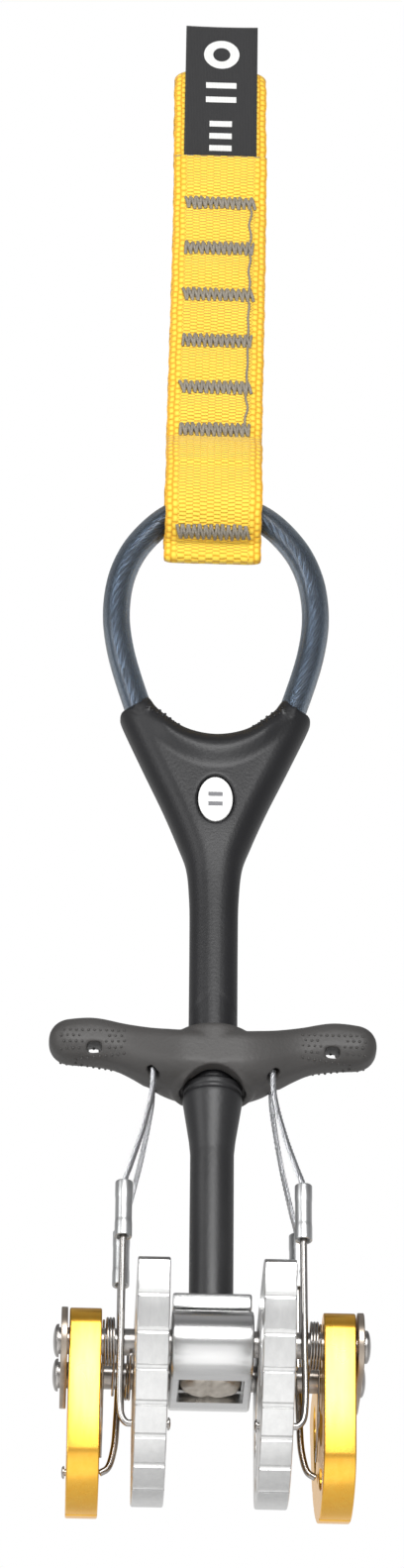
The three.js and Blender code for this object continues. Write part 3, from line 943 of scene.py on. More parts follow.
# ---- tag: a printed label, sewn in between the layers
tag = {
    "width": 14.2,
    "low": 246.4,
    "high": 288.7,
    "thickness": 0.34,
    "cloth": (0.011, 0.011, 0.012),
    "print": (0.82, 0.82, 0.80),
    "ring": {"height": 0.0352, "radius": 0.0026, "halfLine": 0.0009},
    "bars": ((0.0275, 0.0030), (0.0240, 0.0030), (0.0180, 0.0022), (0.0150, 0.0022), (0.0120, 0.0022)),
    "barHalfHeight": 0.0007,
}


def addTag(material):
    rows, cols = 90, 20
    points, spots = [], []
    thick, half, length = tag["thickness"] / 2, tag["width"] / 2, tag["high"] - tag["low"]
    for face in (1, -1):
        for i in range(rows + 1):
            share = i / rows
            sway = -1.15 + 0.12 * math.sin(share * 5.0)
            for k in range(cols + 1):
                across = 2 * k / cols - 1
                curl = 0.18 * across * across * share
                x = across * half + 0.1 + 0.25 * share
                edge = 0.25 if abs(across) == 1 or i in (0, rows) else 1.0
                points.append(Vector((x, sway - curl + face * thick * edge, tag["low"] + length * share)))
                spots.append((across * half, length * share))
    width = cols + 1
    sheetSize = (rows + 1) * width
    faces = []
    for i in range(rows):
        for k in range(cols):
            a = i * width + k
            b = a + sheetSize
            faces.append((a, a + 1, a + 1 + width, a + width))
            faces.append((b, b + width, b + 1 + width, b + 1))
    rim = list(range(cols))
    rim += [i * width + cols for i in range(rows)]
    rim += [rows * width + k for k in range(cols, 0, -1)]
    rim += [i * width for i in range(rows, 0, -1)]
    for a, b in zip(rim, rim[1:] + rim[:1]):
        faces.append((a, b, b + sheetSize, a + sheetSize))
    obj = clothSheet("printed_tag", points, faces, spots)
    finishPiece(obj, "sling", material, ["sling_tag"])


def offBy(tree, value, centre):
    return mathNode(tree, "ABSOLUTE", mathNode(tree, "SUBTRACT", value, centre))


def printedBox(tree, across, along, height, half):
    # one where the point lies in the box, zero outside it
    inX = mathNode(tree, "LESS_THAN", mathNode(tree, "ABSOLUTE", across), half[0])
    inY = mathNode(tree, "LESS_THAN", offBy(tree, along, height), half[1])
    return mathNode(tree, "MULTIPLY", inX, inY)


def tagMaterial():
    material, tree, _ = newMaterial("printedTag")
    across, along = clothPlace(tree)
    weaveSize = {"columnWidth": 0.0003, "pickLength": 0.00028}
    weave = useGroup(tree, wovenYarns, across=across, along=along, **weaveSize)["height"]
    # a plain ring above a few plain bars stands for the printing
    ring = tag["ring"]
    squares = [mathNode(tree, "POWER", value, 2.0) for value in (across, offBy(tree, along, ring["height"]))]
    offRing = offBy(tree, mathNode(tree, "SQRT", mathNode(tree, "ADD", *squares)), ring["radius"])
    marks = mathNode(tree, "LESS_THAN", offRing, ring["halfLine"])
    for height, halfLength in tag["bars"]:
        bar = printedBox(tree, across, along, height, (halfLength, tag["barHalfHeight"]))
        marks = mathNode(tree, "MAXIMUM", marks, bar)
    cloth = rampOf(tree, weave, [(0.0, [0.5 * c for c in tag["cloth"]]), (0.7, tag["cloth"])])
    ink = mathNode(tree, "MULTIPLY", marks, rangeOf(tree, weave, 0.8, 1.0))
    tone = mixColours(tree, ink, cloth, (*tag["print"], 1))
    return setShader(material, {"Base Color": tone, "Roughness": 0.65, "Sheen Weight": 0.2}, weave, 0.00006)


yellowWebbing = webbingMaterial()
greyThread = threadMaterial("greyThread", sling["thread"])
addWebbing(yellowWebbing)
addStitches(greyThread)
addTag(tagMaterial())
print("sling ready")


# ---- stem cable and the clear sleeve over the thumb loop
cable = {
    "legs": (
        (1.5, 0, 3.3), (1.5, 0, 35), (1.5, 0, 70), (1.5, 0, 90), (3, 0, 100), (6.6, 0, 110), (11.2, 0, 121)
    ),
    "loop": (
        (14.1, 0, 129.6), (17.5, 0, 142), (18.4, 0, 150.5), (17.3, 0, 159), (14.1, 0, 166), (8, 0, 172.2)
    ),
    "loopTop": 174.5,
    "strands": {"strandCount": 6, "strandRadius": 0.00047, "layRadius": 0.00090, "layLength": 0.013},
    "sleeveStart": (12.1, 0, 123.5),
    "sleeveRadius": 2.5,
    "sleeveBore": 1.7,
    "sleeveTint": (0.34, 0.395, 0.46),
}


def bothHalves(points):
    top = (0, 0, cable["loopTop"])
    return [*points, top, *[(-x, y, z) for x, y, z in reversed(points)]]


def wireMaterial(name, dark, light, wirePitch):
    # each strand shows its own fine wires, laid against the strand
    material, tree, place = newMaterial(name)
    along = newNode(tree, "ShaderNodeAttribute", attribute_name="along").outputs["Fac"]
    around = newNode(tree, "ShaderNodeAttribute", attribute_name="around").outputs["Fac"]
    lay = mathNode(tree, "DIVIDE", along, wirePitch)
    phase = mathNode(tree, "ADD", lay, mathNode(tree, "MULTIPLY", around, 6.0))
    wires = mathNode(tree, "ABSOLUTE", mathNode(tree, "SINE", mathNode(tree, "MULTIPLY", phase, math.pi)))
    grain = useGroup(tree, surfaceGrain, Vector=place, fineScale=2500.0, broadScale=300.0)
    tone = rampOf(tree, wires, [(0.0, dark), (0.6, light)])
    rough = rangeOf(tree, grain["mask"], 0.25, 0.45)
    return setShader(material, {"Base Color": tone, "Roughness": rough, "Metallic": 1.0}, wires, 0.00006)


def clearSleeveMaterial():
    material, tree, place = newMaterial("clearSleeve")
    grain = useGroup(tree, surfaceGrain, Vector=place, fineScale=1200.0, broadScale=60.0)
    tint = cable["sleeveTint"]
    look = {
        "Base Color": rampOf(tree, grain["mask"], [(0.3, [0.85 * c for c in tint]), (0.7, tint)]),
        "Roughness": rangeOf(tree, grain["mask"], 0.16, 0.28),
        "Transmission Weight": 0.93,
        "IOR": 1.4,
    }
    return setShader(material, look, grain["height"], 0.00003)


def addStem():
    wire = wireMaterial("stemWire", (0.08, 0.085, 0.095), (0.92, 0.95, 1.0), 0.0016)
    route = smoothRoute(bothHalves([*cable["legs"], *cable["loop"]]), 24)
    core = layCable("stem_cable", route, wire, **cable["strands"])
    finishPiece(core, "stem", wire, ["loop_cable"], inRow=True)
    route = smoothRoute(bothHalves([cable["sleeveStart"], *cable["loop"]]), 14)
    sleeve = tube("loop_tubing", route, cable["sleeveRadius"], 40, cable["sleeveBore"])
    finishPiece(sleeve, "stem", clearSleeveMaterial(), ["loop_sleeve"])


addStem()
print("stem ready")


# ---- handle, badge and lower sleeve
handle = {
    "stemRadius": 4.3,
    "bottom": 52.1,
    "halfDepth": 4.6,
    "narrowing": (88, 106),
    "flank": (
        (4.28, 66), (4.3, 80), (4.45, 90), (5.1, 96.5), (6.6, 101),
        (9.3, 108), (13.2, 117), (17.0, 126), (17.4, 127.2),
    ),
    "saddle": (
        (17.2, 127.8), (12.5, 130.9), (11.8, 130.5), (10.5, 128.4), (8.6, 126.3), (5, 123.7), (0, 122.6)
    ),
    "sleeveMouth": (11.9, 0, 122.8),
    "dome": 0.4,
    "creaseHeight": 115.2,
    "creaseBow": 0.05,
    "bandLift": 1.3,
    "round": 4.1,
    "voxel": 0.3,
    "dark": (0.006, 0.006, 0.007),
    "light": (0.010, 0.010, 0.0115),
    "badgeHeight": 108.0,
    "badgeSize": (3.1, 4.6),
    "badgeThickness": 0.7,
}
lowerSleeve = (
    (3.2, 9.4), (3.8, 9.4), (3.8, 39), (4.05, 41.5), (4.9, 47), (5.2, 49.0), (5.2, 49.7), (4.95, 49.95),
    (4.95, 50.5), (5.2, 50.8), (5.2, 51.8), (3.2, 51.8), (3.2, 9.4),
)


def smoothLoop(points):
    return [(p.x, p.y) for p in smoothRoute([(x, z, 0) for x, z in points], 5)]


def otherSide(points):
    return [(-x, z) for x, z in reversed(points)]


def badgeLoop(extraWidth, extraHeight, steps):
    width, height = handle["badgeSize"]
    turns = [2 * math.pi * k / steps for k in range(steps)]
    middle = handle["badgeHeight"]
    return [(extraWidth * width * math.cos(t), middle + extraHeight * height * math.sin(t)) for t in turns]


def addHandle(material):
    half, stemRadius, bottom = handle["halfDepth"], handle["stemRadius"], handle["bottom"]
    flank = smoothLoop(handle["flank"])
    saddle = smoothLoop([*handle["saddle"], *otherSide(handle["saddle"][:-1])])
    yoke = cutOut("grip_handle", [[*flank, *saddle, *otherSide(flank)]], -half, half, handle["round"], 7, "Y")
    # the flat yoke narrows in depth to the round stem
    for vertex in yoke.data.vertices:
        share = stemRadius / half
        vertex.co.y *= share + (1 - share) * smoothStep(*handle["narrowing"], vertex.co.z)
    profile = [(0, bottom), (stemRadius, bottom), (stemRadius, 90), (0, 92)]
    stem = spun("stem_part", roundedProfile(profile, 0.5), steps=64)
    stem = combine(stem, [spun("bore", [(0, 51), (3.2, 51), (3.2, 60), (0, 60)], steps=40)], "DIFFERENCE")
    tools = [cutOut("recess", [badgeLoop(1.09, 1.07, 48)], -half - 1, -half + 1.0, 0.05, 1, "Y")]
    for side in (-1, 1):
        mouth = [(side * x, y, z) for x, y, z in (handle["sleeveMouth"], *cable["loop"][:2])]
        tools.append(tube("mouth", smoothRoute(mouth, 8), cable["sleeveRadius"] + 0.25, 32))
    yoke = combine(yoke, tools, "DIFFERENCE")
    obj = mouldedSkin(joined(yoke, [stem]), handle["voxel"], 4)
    # a raised thumb band under the saddle, closed off by a crease
    for vertex in obj.data.vertices:
        x, y, z = vertex.co
        outward = smoothStep(1.2, 3.2, abs(y)) * math.copysign(1, y)
        spread = 1 - smoothStep(8.5, 14.5, abs(x))
        above = z - handle["creaseHeight"] - handle["creaseBow"] * x * x
        if z > handle["badgeHeight"]:
            vertex.co.y += outward * spread * handle["bandLift"] * smoothStep(-1.0, 3.4, above)
        width = 4.5 + 12.5 * smoothStep(94, 128, z)
        vertex.co.y += outward * handle["dome"] * max(1 - (x / width) ** 2, 0) * smoothStep(92, 104, z)
    obj.data.shade_smooth()
    return finishPiece(obj, "stem", material, ["handle"])


def onBothFaces(body, places, reach):
    # where lines along the depth meet the front and the back of a finished piece
    tree = BVHTree.FromObject(body, bpy.context.evaluated_depsgraph_get())
    spots = []
    for x, z in places:
        for sign in (-1, 1):
            spot = tree.ray_cast(rowPoint(x, sign * 12, z), Vector((0, -sign, 0)), reach)[0]
            if spot is not None:
                spots.append(spot)
    return spots


def addHandleDots(body, material):
    # small raised dots in two rows beside the saddle
    places = []
    for side in (-1, 1):
        for row in range(2):
            for k in range(7):
                x = 6.4 + 0.95 * k + 0.4 * row
                places.append((side * x, 122.6 + 0.62 * (x - 4) - 1.1 * row))
    cloud = pointCloud("handle_dots", onBothFaces(body, places, 0.011))
    dots = grow(cloud, raiseStuds, studRadius=0.00028, material=material)
    finishPiece(dots, "stem", material, inRow=True)


def badgeMaterial():
    material, tree, place = newMaterial("badgeWhite")
    centre = rowPoint(0, -handle["halfDepth"], handle["badgeHeight"])
    local = newNode(tree, "ShaderNodeMapping", {"Location": -centre, "Vector": place}).outputs[0]
    split = newNode(tree, "ShaderNodeSeparateXYZ", {0: local}).outputs
    # two plain bars, as a size mark
    half = (0.0013, 0.00045)
    bars = [printedBox(tree, split["X"], split["Z"], height, half) for height in (0.0010, -0.0010)]
    grain = useGroup(tree, surfaceGrain, Vector=place, fineScale=2000.0, broadScale=300.0)
    base = rampOf(tree, grain["mask"], [(0.2, (0.80, 0.80, 0.78)), (0.8, (0.90, 0.90, 0.89))])
    tone = mixColours(tree, mathNode(tree, "MAXIMUM", *bars), base, (0.16, 0.16, 0.17, 1))
    return setShader(material, {"Base Color": tone, "Roughness": 0.35}, grain["height"], 0.00001)


def addBadge():
    front = -handle["halfDepth"] - 0.15
    plate = cutOut("size_plate", [badgeLoop(1, 1, 64)], front, front + handle["badgeThickness"], 0.18, 3, "Y")
    finishPiece(plate, "stem", badgeMaterial(), ["size_badge"])


def addLowerSleeve():
    plastic = plasticMaterial(
        "sleevePlastic", (0.012, 0.012, 0.013), (0.018, 0.018, 0.019), (0.36, 0.48), 1400.0, 0.00004
    )
    sleeve = spun("lower_sleeve", roundedProfile(lowerSleeve, 0.25, 3), steps=72)
    finishPiece(sleeve, "stem", plastic, ["lower_stem_sleeve"])


handlePlastic = plasticMaterial(
    "handlePlastic", handle["dark"], handle["light"], (0.40, 0.52), 1800.0, 0.00004
)
addHandleDots(addHandle(handlePlastic), handlePlastic)
addBadge()
addLowerSleeve()
print("handle ready")


# ---- trigger bar
trigger = {
    "halfDepth": 4.0,
    "top": ((6, 61.4), (10, 62.1), (15, 63.3), (21, 64.5), (25.5, 64.1)),
    "tip": (25.1, 60.4, 3.7),
    "bottom": ((25.5, 56.7), (21, 56.4), (17.5, 55.8), (14.7, 54.6), (11, 52.7), (8.2, 51.6), (5.5, 50.9)),
    "deepening": 0.84,
    "hubRadius": 7.4,
    "hubLow": 50.6,
    "hubHigh": 61.4,
    "seat": (5.8, 52.1),
    "arch": (6.6, 46.5),
    "slot": (20.8, 58.9),
    "slotHalf": (1.25, 0.95),
    "slotCorner": 0.7,
    "slotTilt": 17.0,
    "cableHole": (10.4, 3.2, 1.1),
    "voxel": 0.3,
    "dark": (0.044, 0.042, 0.040),
    "light": (0.060, 0.057, 0.055),
}


def triggerLoop():
    tipX, tipZ, tipRadius = trigger["tip"]
    turns = [math.pi / 2 - math.pi * k / 10 for k in range(1, 10)]
    tip = [(tipX + tipRadius * math.cos(t), tipZ + tipRadius * math.sin(t)) for t in turns]
    right = smoothLoop([*trigger["top"], *tip, *trigger["bottom"]])
    return [*right, *otherSide(right)]


def slotLoop(x, z):
    corner, steps = trigger["slotCorner"], 5
    reachX, reachZ = [half - corner for half in trigger["slotHalf"]]
    loop = []
    for sx, sz, begin in ((1, -1, -90), (1, 1, 0), (-1, 1, 90), (-1, -1, 180)):
        for k in range(steps + 1):
            t = math.radians(begin + 90 * k / steps)
            loop.append((x + sx * reachX + corner * math.cos(t), z + sz * reachZ + corner * math.sin(t)))
    return loop


def drill(name, radius, top, steps, place=(0, 0, 0)):
    low = 45
    return spun(name, [(0, low), (radius, low), (radius, top), (0, top)], steps=steps, place=place)


def addTrigger(material):
    bar = cutOut("trigger_grip", [triggerLoop()], -trigger["halfDepth"], trigger["halfDepth"], 3.1, 7, "Y")
    bar = edited(bar, lambda work: bmesh.ops.triangulate(work, faces=work.faces))
    remesh = bar.modifiers.new("even", "REMESH")
    remesh.mode = "VOXEL"
    remesh.voxel_size = 0.5
    bar = settle(bar)
    # the bar deepens towards its middle, to meet the hub without a step
    for vertex in bar.data.vertices:
        near = 1 - smoothStep(4.0, 17.0, abs(vertex.co.x))
        vertex.co.y *= 1 + trigger["deepening"] * near
    low, high, radius = trigger["hubLow"], trigger["hubHigh"], trigger["hubRadius"]
    hub = spun("hub", roundedProfile([(0, low), (radius, low), (radius, high), (0, high)], 1.0, 5), steps=72)
    archRadius, archHeight = trigger["arch"]
    tools = [
        drill("bore", handle["stemRadius"] + 0.4, 63, 56),
        drill("seat", *trigger["seat"], 56),
        cutOut("arch", [circleLoop(archRadius, 0, archHeight, 64)], -12, 12, 0.02, 1, "Y"),
    ]
    slotX, slotZ = trigger["slot"]
    holeX, holeY, holeRadius = trigger["cableHole"]
    pivot = Matrix.Translation((0, 0, slotZ))
    lean = pivot @ Matrix.Rotation(math.radians(trigger["slotTilt"]), 4, "X") @ pivot.inverted()
    for side in (-1, 1):
        slot = cutOut("slot", [slotLoop(side * slotX, slotZ)], -9, 9, 0.02, 1, "Y")
        slot.data.transform(lean)
        tools.append(slot)
        tools += [drill("hole", holeRadius, 57, 24, (side * holeX, y, 0)) for y in (-holeY, holeY)]
    obj = combine(combine(bar, [hub], "UNION"), tools, "DIFFERENCE")
    obj = mouldedSkin(obj, trigger["voxel"], 6)
    obj.data.shade_smooth()
    return finishPiece(obj, "trigger", material, ["trigger_bar"])


def addGripStuds(body, material):
    slotX, slotZ = trigger["slot"]
    places = []
    for side in (-1, 1):
        for row in range(5):
            for k in range(11):
                x = 15.6 + 1.05 * k + 0.5 * (row % 2)
                z = 56.6 + 1.05 * row
                besideSlot = abs(x - slotX) >= 2.0 or abs(z - slotZ) >= 1.8
                if besideSlot and x <= 27.5 and z <= 61.8:
                    places.append((side * x, z))
    cloud = pointCloud("trigger_studs", onBothFaces(body, places, 0.0115))
    studs = grow(cloud, raiseStuds, studRadius=0.00025, material=material)
    finishPiece(studs, "trigger", material, inRow=True)


triggerPlastic = plasticMaterial(
    "triggerPlastic", trigger["dark"], trigger["light"], (0.46, 0.58), 1500.0, 0.00006
)
addGripStuds(addTrigger(triggerPlastic), triggerPlastic)
print("trigger ready")


# ---- head: block, swage, axles and end plates
head = {
    "blockHalfWidth": 6.9,
    "bossRadius": 5.6,
    "neck": ((-6.9, -4.5, 3.5), (6.9, 4.5, 6.6)),
    "flange": ((-6.7, -7.8, 6.3), (6.7, 7.8, 9.1)),
    "pocket": ((-5.6, -4.6, -7), (5.6, 4.6, -3.6)),
    "channel": ((-5.3, -4.1, -4), (5.3, 4.1, 3.6)),
    "cableSlot": ((-3.2, -1.8, 3), (3.2, 1.8, 10)),
    "axleRadius": 2.25,
    "plateX": 24.3,
    "plateThickness": 1.1,
    "plateRadius": 5.7,
    "rivetRadius": 2.8,
    "rivetHeight": 1.0,
    "clearance": 0.3,
}
metals = {
    # dark and light colour, roughness, then the stretch, scale, contrast and depth of the tool marks
    "bareAluminium": ((0.64, 0.64, 0.635), (0.78, 0.78, 0.77), (0.28, 0.38), (1, 1, 0.08), 900.0, 0.9, 3e-6),
    "blockAluminium": ((0.66, 0.66, 0.66), (0.82, 0.82, 0.81), (0.20, 0.30), (0.06, 1, 1), 900.0, 0.9, 4e-6),
    "goldAluminium": ((0.98, 0.49, 0.055), (1.0, 0.60, 0.10), (0.24, 0.32), (1, 1, 0.06), 900.0, 0.8, 2e-6),
    "stainless": ((0.34, 0.325, 0.31), (0.52, 0.50, 0.48), (0.22, 0.38), (1, 0.3, 0.3), 900.0, 1.1, 4e-6),
    "plateSteel": ((0.36, 0.305, 0.25), (0.52, 0.445, 0.37), (0.28, 0.42), (1, 0.3, 0.3), 900.0, 1.1, 4e-6),
    "swageSteel": ((0.50, 0.455, 0.40), (0.68, 0.63, 0.56), (0.42, 0.55), (1, 1, 1), 700.0, 1.2, 1e-5),
    "brightRod": ((0.36, 0.345, 0.33), (0.54, 0.52, 0.50), (0.20, 0.30), (1, 1, 0.1), 1200.0, 0.8, 2e-6),
    "ferruleMetal": ((0.50, 0.51, 0.51), (0.66, 0.67, 0.67), (0.30, 0.42), (1, 1, 0.2), 700.0, 0.9, 5e-6),
}
metal = {name: metalMaterial(name, *look) for name, look in metals.items()}


def addBlock():
    size = head["blockHalfWidth"]
    body = cutOut("head_casting", [obroundLoop(head["bossRadius"], axleY)], -size, size, 0.5, 3)
    shoulders = [block(name, *head[name]) for name in ("neck", "flange")]
    for part in shoulders:
        bevel = part.modifiers.new("soften", "BEVEL")
        bevel.width = 0.45
        bevel.segments = 3
    body = combine(body, [settle(part) for part in shoulders], "UNION")
    tools = [block(name, *head[name]) for name in ("pocket", "channel", "cableSlot")]
    bore = head["axleRadius"] + head["clearance"]
    for y in (-axleY, axleY):
        tools.append(spun("bore", [(0, -9), (bore, -9), (bore, 9), (0, 9)], "X", 40, (0, y, 0)))
    body = combine(body, tools, "DIFFERENCE")
    sharpen(tidyMesh(body), 30)
    finishPiece(body, "stem", metal["blockAluminium"], ["head_block"])


def addSwage():
    # pressed over the two cable ends: a rounded slug with two soft lobes at its foot
    slug = cutOut("end_swage", [obroundLoop(4.1, 1.1, 24)], -4.9, 3.0, 0.9, 5, "Y")
    slug.data.transform(Matrix(((1, 0, 0, 0), (0, 0, 1, 0), (0, 1, 0, 0), (0, 0, 0, 1))))
    slug = mouldedSkin(tidyMesh(slug), 0.22, 4)
    for vertex in slug.data.vertices:
        x, y, z = vertex.co
        if z < -2:
            dome = max(1 - (x / 4.9) ** 2 - (y / 3.8) ** 2, 0.0) ** 0.5
            dent = 0.35 * math.exp(-(((x + 0.4) / 0.7) ** 2))
            vertex.co.z -= 0.75 * dome - dent + 0.1 * math.sin(2.1 * x + 1.3 * y) * math.cos(1.7 * y)
    slug.data.shade_smooth()
    finishPiece(slug, "stem", metal["swageSteel"], ["cable_swage"])


def addAxles():
    end = head["plateX"] + head["plateThickness"] + head["clearance"]
    radius, height = head["rivetRadius"], head["rivetHeight"]
    straight = 0.25
    profile = [(head["axleRadius"], end), (radius, end), (radius, end + straight)]
    for k in range(1, 8):
        t = math.pi / 2 * k / 8
        profile.append((radius * math.cos(t), end + straight + (height - straight) * math.sin(t)))
    profile.append((0, end + height))
    full = [(r, -x) for r, x in reversed(profile)] + profile
    for name, y in (("front_axle", -axleY), ("rear_axle", axleY)):
        pin = spun(f"{name}_pin", full, "X", 48, (0, y, 0))
        finishPiece(pin, "stem", metal["stainless"], [name])


def addPlates():
    hole = head["axleRadius"] + head["clearance"]
    for name, side in (("left", -1), ("right", 1)):
        loops = [obroundLoop(head["plateRadius"], axleY, 28)]
        loops += [circleLoop(hole, y, 0, 32) for y in (-axleY, axleY)]
        low = head["plateX"] if side > 0 else -head["plateX"] - head["plateThickness"]
        plate = cutOut(f"{name}_cheek_plate", loops, low, low + head["plateThickness"], 0.16)
        finishPiece(plate, "stem", metal["plateSteel"], [f"{name}_end_plate"])


addBlock()
addSwage()
addAxles()
addPlates()
print("head ready")


# ---- lobes
lobe = {
    "thickness": 5.4,
    "innerX": 7.7,
    "outerX": 18.6,
    "reach": 39.0,
    "camAngle": 15.0,
    "tipAngle": -4.5,
    "toeAngle": 76.0,
    "toothPitch": 6.0,
    "grooveWidth": 1.2,
    "grooveDepth": 0.35,
    "closing": 72.0,
    "rodReach": 17.6,
    "rodDrop": 16.3,
    "rim": 0.28,
}
lobes = {}
for kind, reachX, bite in (("inner", lobe["innerX"], -1), ("outer", lobe["outerX"], 1)):
    for hand, side in (("left", -1), ("right", 1)):
        lobes[f"{kind}_{hand}"] = {
            "inner": kind == "inner", "side": side, "x": reachX, "pivot": -bite * axleY, "bite": bite,
        }


def spiralRadius(angle):
    return lobe["reach"] * math.exp(-angle * math.tan(math.radians(lobe["camAngle"])))


def toothedEdge():
    # broad lands with a shallow round-bottomed groove after each
    edge = []
    angle = math.radians(lobe["tipAngle"])
    last = math.radians(lobe["toeAngle"])
    while angle + lobe["toothPitch"] / spiralRadius(angle) < last:
        radius = spiralRadius(angle)
        groove = lobe["grooveWidth"] / radius
        land = lobe["toothPitch"] / radius - groove
        for k in range(7):
            here = angle + land * k / 6
            edge.append((here, spiralRadius(here)))
        for k in range(1, 6):
            here = angle + land + groove * k / 6
            edge.append((here, spiralRadius(here) - lobe["grooveDepth"] * math.sin(math.pi * k / 6) ** 0.5))
        angle += land + groove
    edge.append((angle, spiralRadius(angle)))
    return [(r * math.cos(a), -r * math.sin(a)) for a, r in edge]


def arcSlot(radius, half, begin, end, steps=22):
    def along(reach, first, last):
        turns = [first + (last - first) * k / steps for k in range(steps + 1)]
        return [(reach * math.cos(t), -reach * math.sin(t)) for t in turns]

    def roundEnd(angle, start):
        turns = [start + math.pi * k / 12 for k in range(1, 12)]
        x, z = radius * math.cos(angle), -radius * math.sin(angle)
        return [(x + half * math.cos(t), z - half * math.sin(t)) for t in turns]

    return [
        *along(radius + half, begin, end),
        *roundEnd(end, end),
        *along(radius - half, end, begin),
        *roundEnd(begin, begin + math.pi),
    ]


def lobeLoops():
    edge = toothedEdge()
    tip, toe = edge[0], edge[-1]
    edge += bezierPoints(toe, (toe[0] - 4, toe[1] - 0.6), (-1, -25.6), (-2.5, -20.2), steps=14)
    edge += [(-5, 1.1), *bezierPoints((-5, 1.1), (-4.7, 3.9), (-2.6, 5.6), (0, 5.6), steps=8)]
    edge += [(33, 5.6), *bezierPoints((33, 5.6), (37.5, 5.6), tip, steps=8)[:-1]]
    return [
        edge,
        circleLoop(2.55, 0, 0, 36),
        circleLoop(0.9, lobe["rodReach"], -lobe["rodDrop"], 20),
        arcSlot(14, 2.55, -0.01, math.radians(lobe["closing"]) + 0.02, 30),
        arcSlot(26, 3, 0.1, 0.42),
        arcSlot(22.2, 1.7, 1.02, 1.3),
    ]


def addLobes():
    for name, place in lobes.items():
        plate = cutOut(f"{name}_cam", lobeLoops(), place["x"], place["x"] + lobe["thickness"], lobe["rim"])
        if place["bite"] < 0:
            mirrored(plate, (0, 1, 0))
        if place["side"] < 0:
            mirrored(plate, (1, 0, 0))
        plate.data.transform(Matrix.Translation((0, place["pivot"], 0)))
        look = metal["bareAluminium"] if place["inner"] else metal["goldAluminium"]
        finishPiece(plate, f"{name}_lobe", look, [f"{name}_lobe"])


# ---- springs: a close coil on the axle, one leg under the far axle and one held by the lobe
spring = {
    "wire": 0.22,
    "coilRadius": 3.9,
    "pitch": 0.5,
    "legReach": 15.5,
    "legDrop": 2.87,
    "inner": {"turns": 1.25, "begin": 13.62},
    "outer": {"turns": 3.25, "begin": 16.42},
}


def addSprings():
    wire, radius, pitch = spring["wire"], spring["coilRadius"], spring["pitch"]
    for name, place in lobes.items():
        inner, bite, side = place["inner"], place["bite"], place["side"]
        size = spring["inner" if inner else "outer"]
        turns, begin = size["turns"], size["begin"]

        def put(points):
            return [Vector((side * x, y + place["pivot"], z)) for x, y, z in points]

        coil = [(begin, bite * spring["legReach"], -spring["legDrop"])]
        steps = 22
        for k in range(int(turns * steps) + 1):
            t = 2 * math.pi * k / steps
            coil.append((begin + pitch * k / steps, -bite * radius * math.sin(t), -radius * math.cos(t)))
        held = tube(f"{name}_coil", smoothRoute(put(coil), 2), wire, 10)
        finishPiece(held, "stem", metal["brightRod"], [f"{name}_spring"])
        # the moving leg starts beside the coil's last turn and hooks round the lobe's rod end
        endX = begin + pitch * turns + 2 * wire + 0.05
        legX = endX if inner else min(endX, lobe["outerX"] - 0.35)
        reachY, drop = lobe["rodReach"] - 2.2, lobe["rodDrop"] - 2.0
        leg = []
        for k in range(9):
            t = math.pi / 2 * k / 8
            leg.append((legX, bite * radius * math.cos(t), radius * math.sin(t)))
        leg += [(legX, bite * reachY * 0.55, -drop * 0.75), (legX, bite * reachY, -drop)]
        moving = tube(f"{name}_coil_leg", smoothRoute(put(leg), 3), wire, 10)
        finishPiece(moving, f"{name}_lobe", metal["brightRod"])


# ---- links: cable, ferrule and rod from the trigger to each lobe
link = {
    "cable": (
        (10.4, 3.2, 54), (10.6, 3.4, 49.5), (12.2, 6, 40.5),
        (14.2, 8.6, 32.5), (15.3, 9.7, 28.3), (15.3, 9.7, 24.5),
    ),
    "strands": {"strandCount": 6, "strandRadius": 0.00019, "layRadius": 0.00034, "layLength": 0.0050},
    "ferrulePlace": (15.3, 9.7),
    "ferruleLow": 18.2,
    "ferruleHigh": 28.5,
    "ferruleRadius": 1.5,
    "rodRadius": 0.6,
    "rodStart": ((15.3, 9.7, 22.2), (15.3, 9.7, 18.2), (15.4, 10.25, 0)),
    "innerHook": ((15.4, 10.6, -12.8), (15, 10.6, -15.2), (14.2, 10.6, -16.2), (13.4, 10.6, -16.3)),
    "outerHook": ((15.6, 10.5, -6.5), (16, 10.6, -12), (17, 10.6, -15.4), (18.3, 10.6, -16.3)),
    "flare": 1.1,
}


def ferruleProfile():
    # crimped a little over its middle, and open at both ends
    low, high, radius = link["ferruleLow"], link["ferruleHigh"], link["ferruleRadius"]
    waist = radius - 0.06
    return [
        (0.9, low + 0.3), (1.15, low), (radius, low), (radius, low + 2.6), (waist, low + 3.1),
        (waist, high - 3.1), (radius, high - 2.6), (radius, high), (1.15, high), (0.75, high - 0.4),
    ]


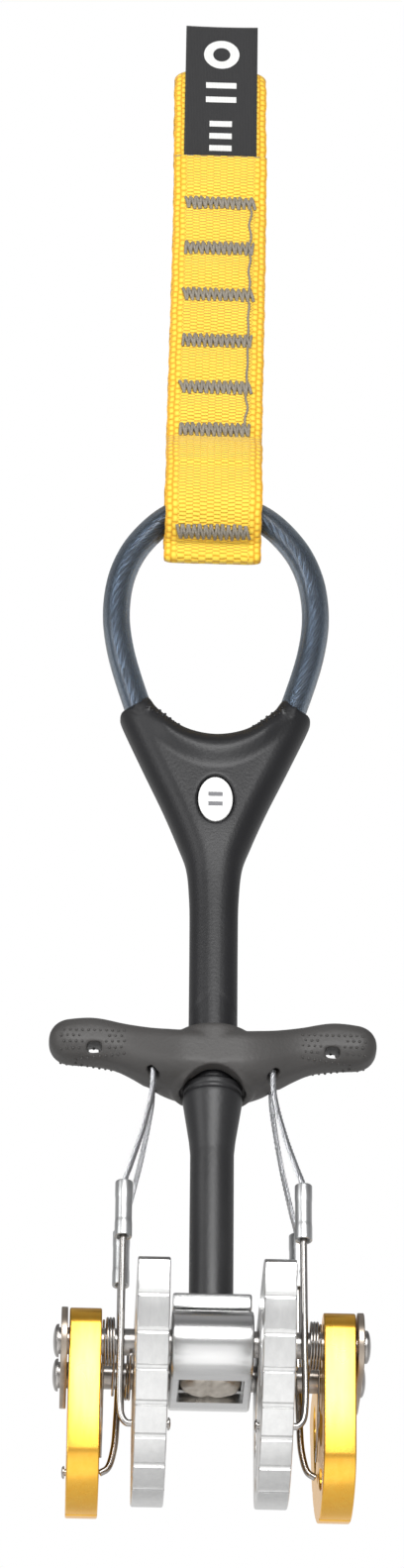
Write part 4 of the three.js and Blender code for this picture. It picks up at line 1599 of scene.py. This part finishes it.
def fillShell(work):
    # close the wall left open between the two inner rims
    bmesh.ops.bridge_loops(work, edges=[edge for edge in work.edges if edge.is_boundary])


def addPeenedEnd(name, place):
    # the rod's end, spread over the face of the lobe
    if place["inner"]:
        near, far, out = lobe["innerX"] + lobe["thickness"], lobe["innerX"], -1
    else:
        near, far, out = lobe["outerX"], lobe["outerX"] + lobe["thickness"], 1
    radius, flare = link["rodRadius"], link["flare"]
    steps = [
        (0, near, 0.1), (radius, near, 0.1), (radius, far, 0.25), (flare, far, 0.32),
        (flare, far, 0.5), (0.8, far, 0.72), (0, far, 0.8),
    ]
    profile = [(r, face + out * lift) for r, face, lift in steps]
    middle = (0, place["bite"] * (lobe["rodReach"] - axleY), -lobe["rodDrop"])
    end = spun(f"{name}_peened_end", profile, "X", 32, middle)
    if place["side"] < 0:
        mirrored(end, (1, 0, 0))
    finishPiece(end, f"{name}_lobe", metal["brightRod"], [f"{name}_rod_end"])


def addLinks():
    wire = wireMaterial("triggerWire", (0.22, 0.225, 0.23), (0.78, 0.79, 0.81), 0.0009)
    for name, place in lobes.items():
        side, bite = place["side"], place["bite"]

        def put(points):
            return [Vector((side * x, bite * y, z)) for x, y, z in points]

        route = smoothRoute(put(link["cable"]), 10)
        rope = layCable(f"{name}_pull_cable", route, wire, **link["strands"])
        finishPiece(rope, f"{name}_link", wire, [f"{name}_trigger_cable"], inRow=True)

        x, y = link["ferrulePlace"]
        profile = roundedProfile(ferruleProfile(), 0.2, 3)
        shell = edited(spun(f"{name}_crimp", profile, steps=36, place=(side * x, bite * y, 0)), fillShell)
        finishPiece(shell, f"{name}_link", metal["ferruleMetal"], [f"{name}_ferrule"])

        hook = link["innerHook"] if place["inner"] else link["outerHook"]
        route = smoothRoute(put([*link["rodStart"], *hook]), 10)
        rod = tube(f"{name}_pull_rod", route, link["rodRadius"], 16)
        finishPiece(rod, f"{name}_link", metal["brightRod"], [f"{name}_rod"])
        addPeenedEnd(name, place)


addLobes()
addSprings()
addLinks()
print("lobes, springs and links ready")
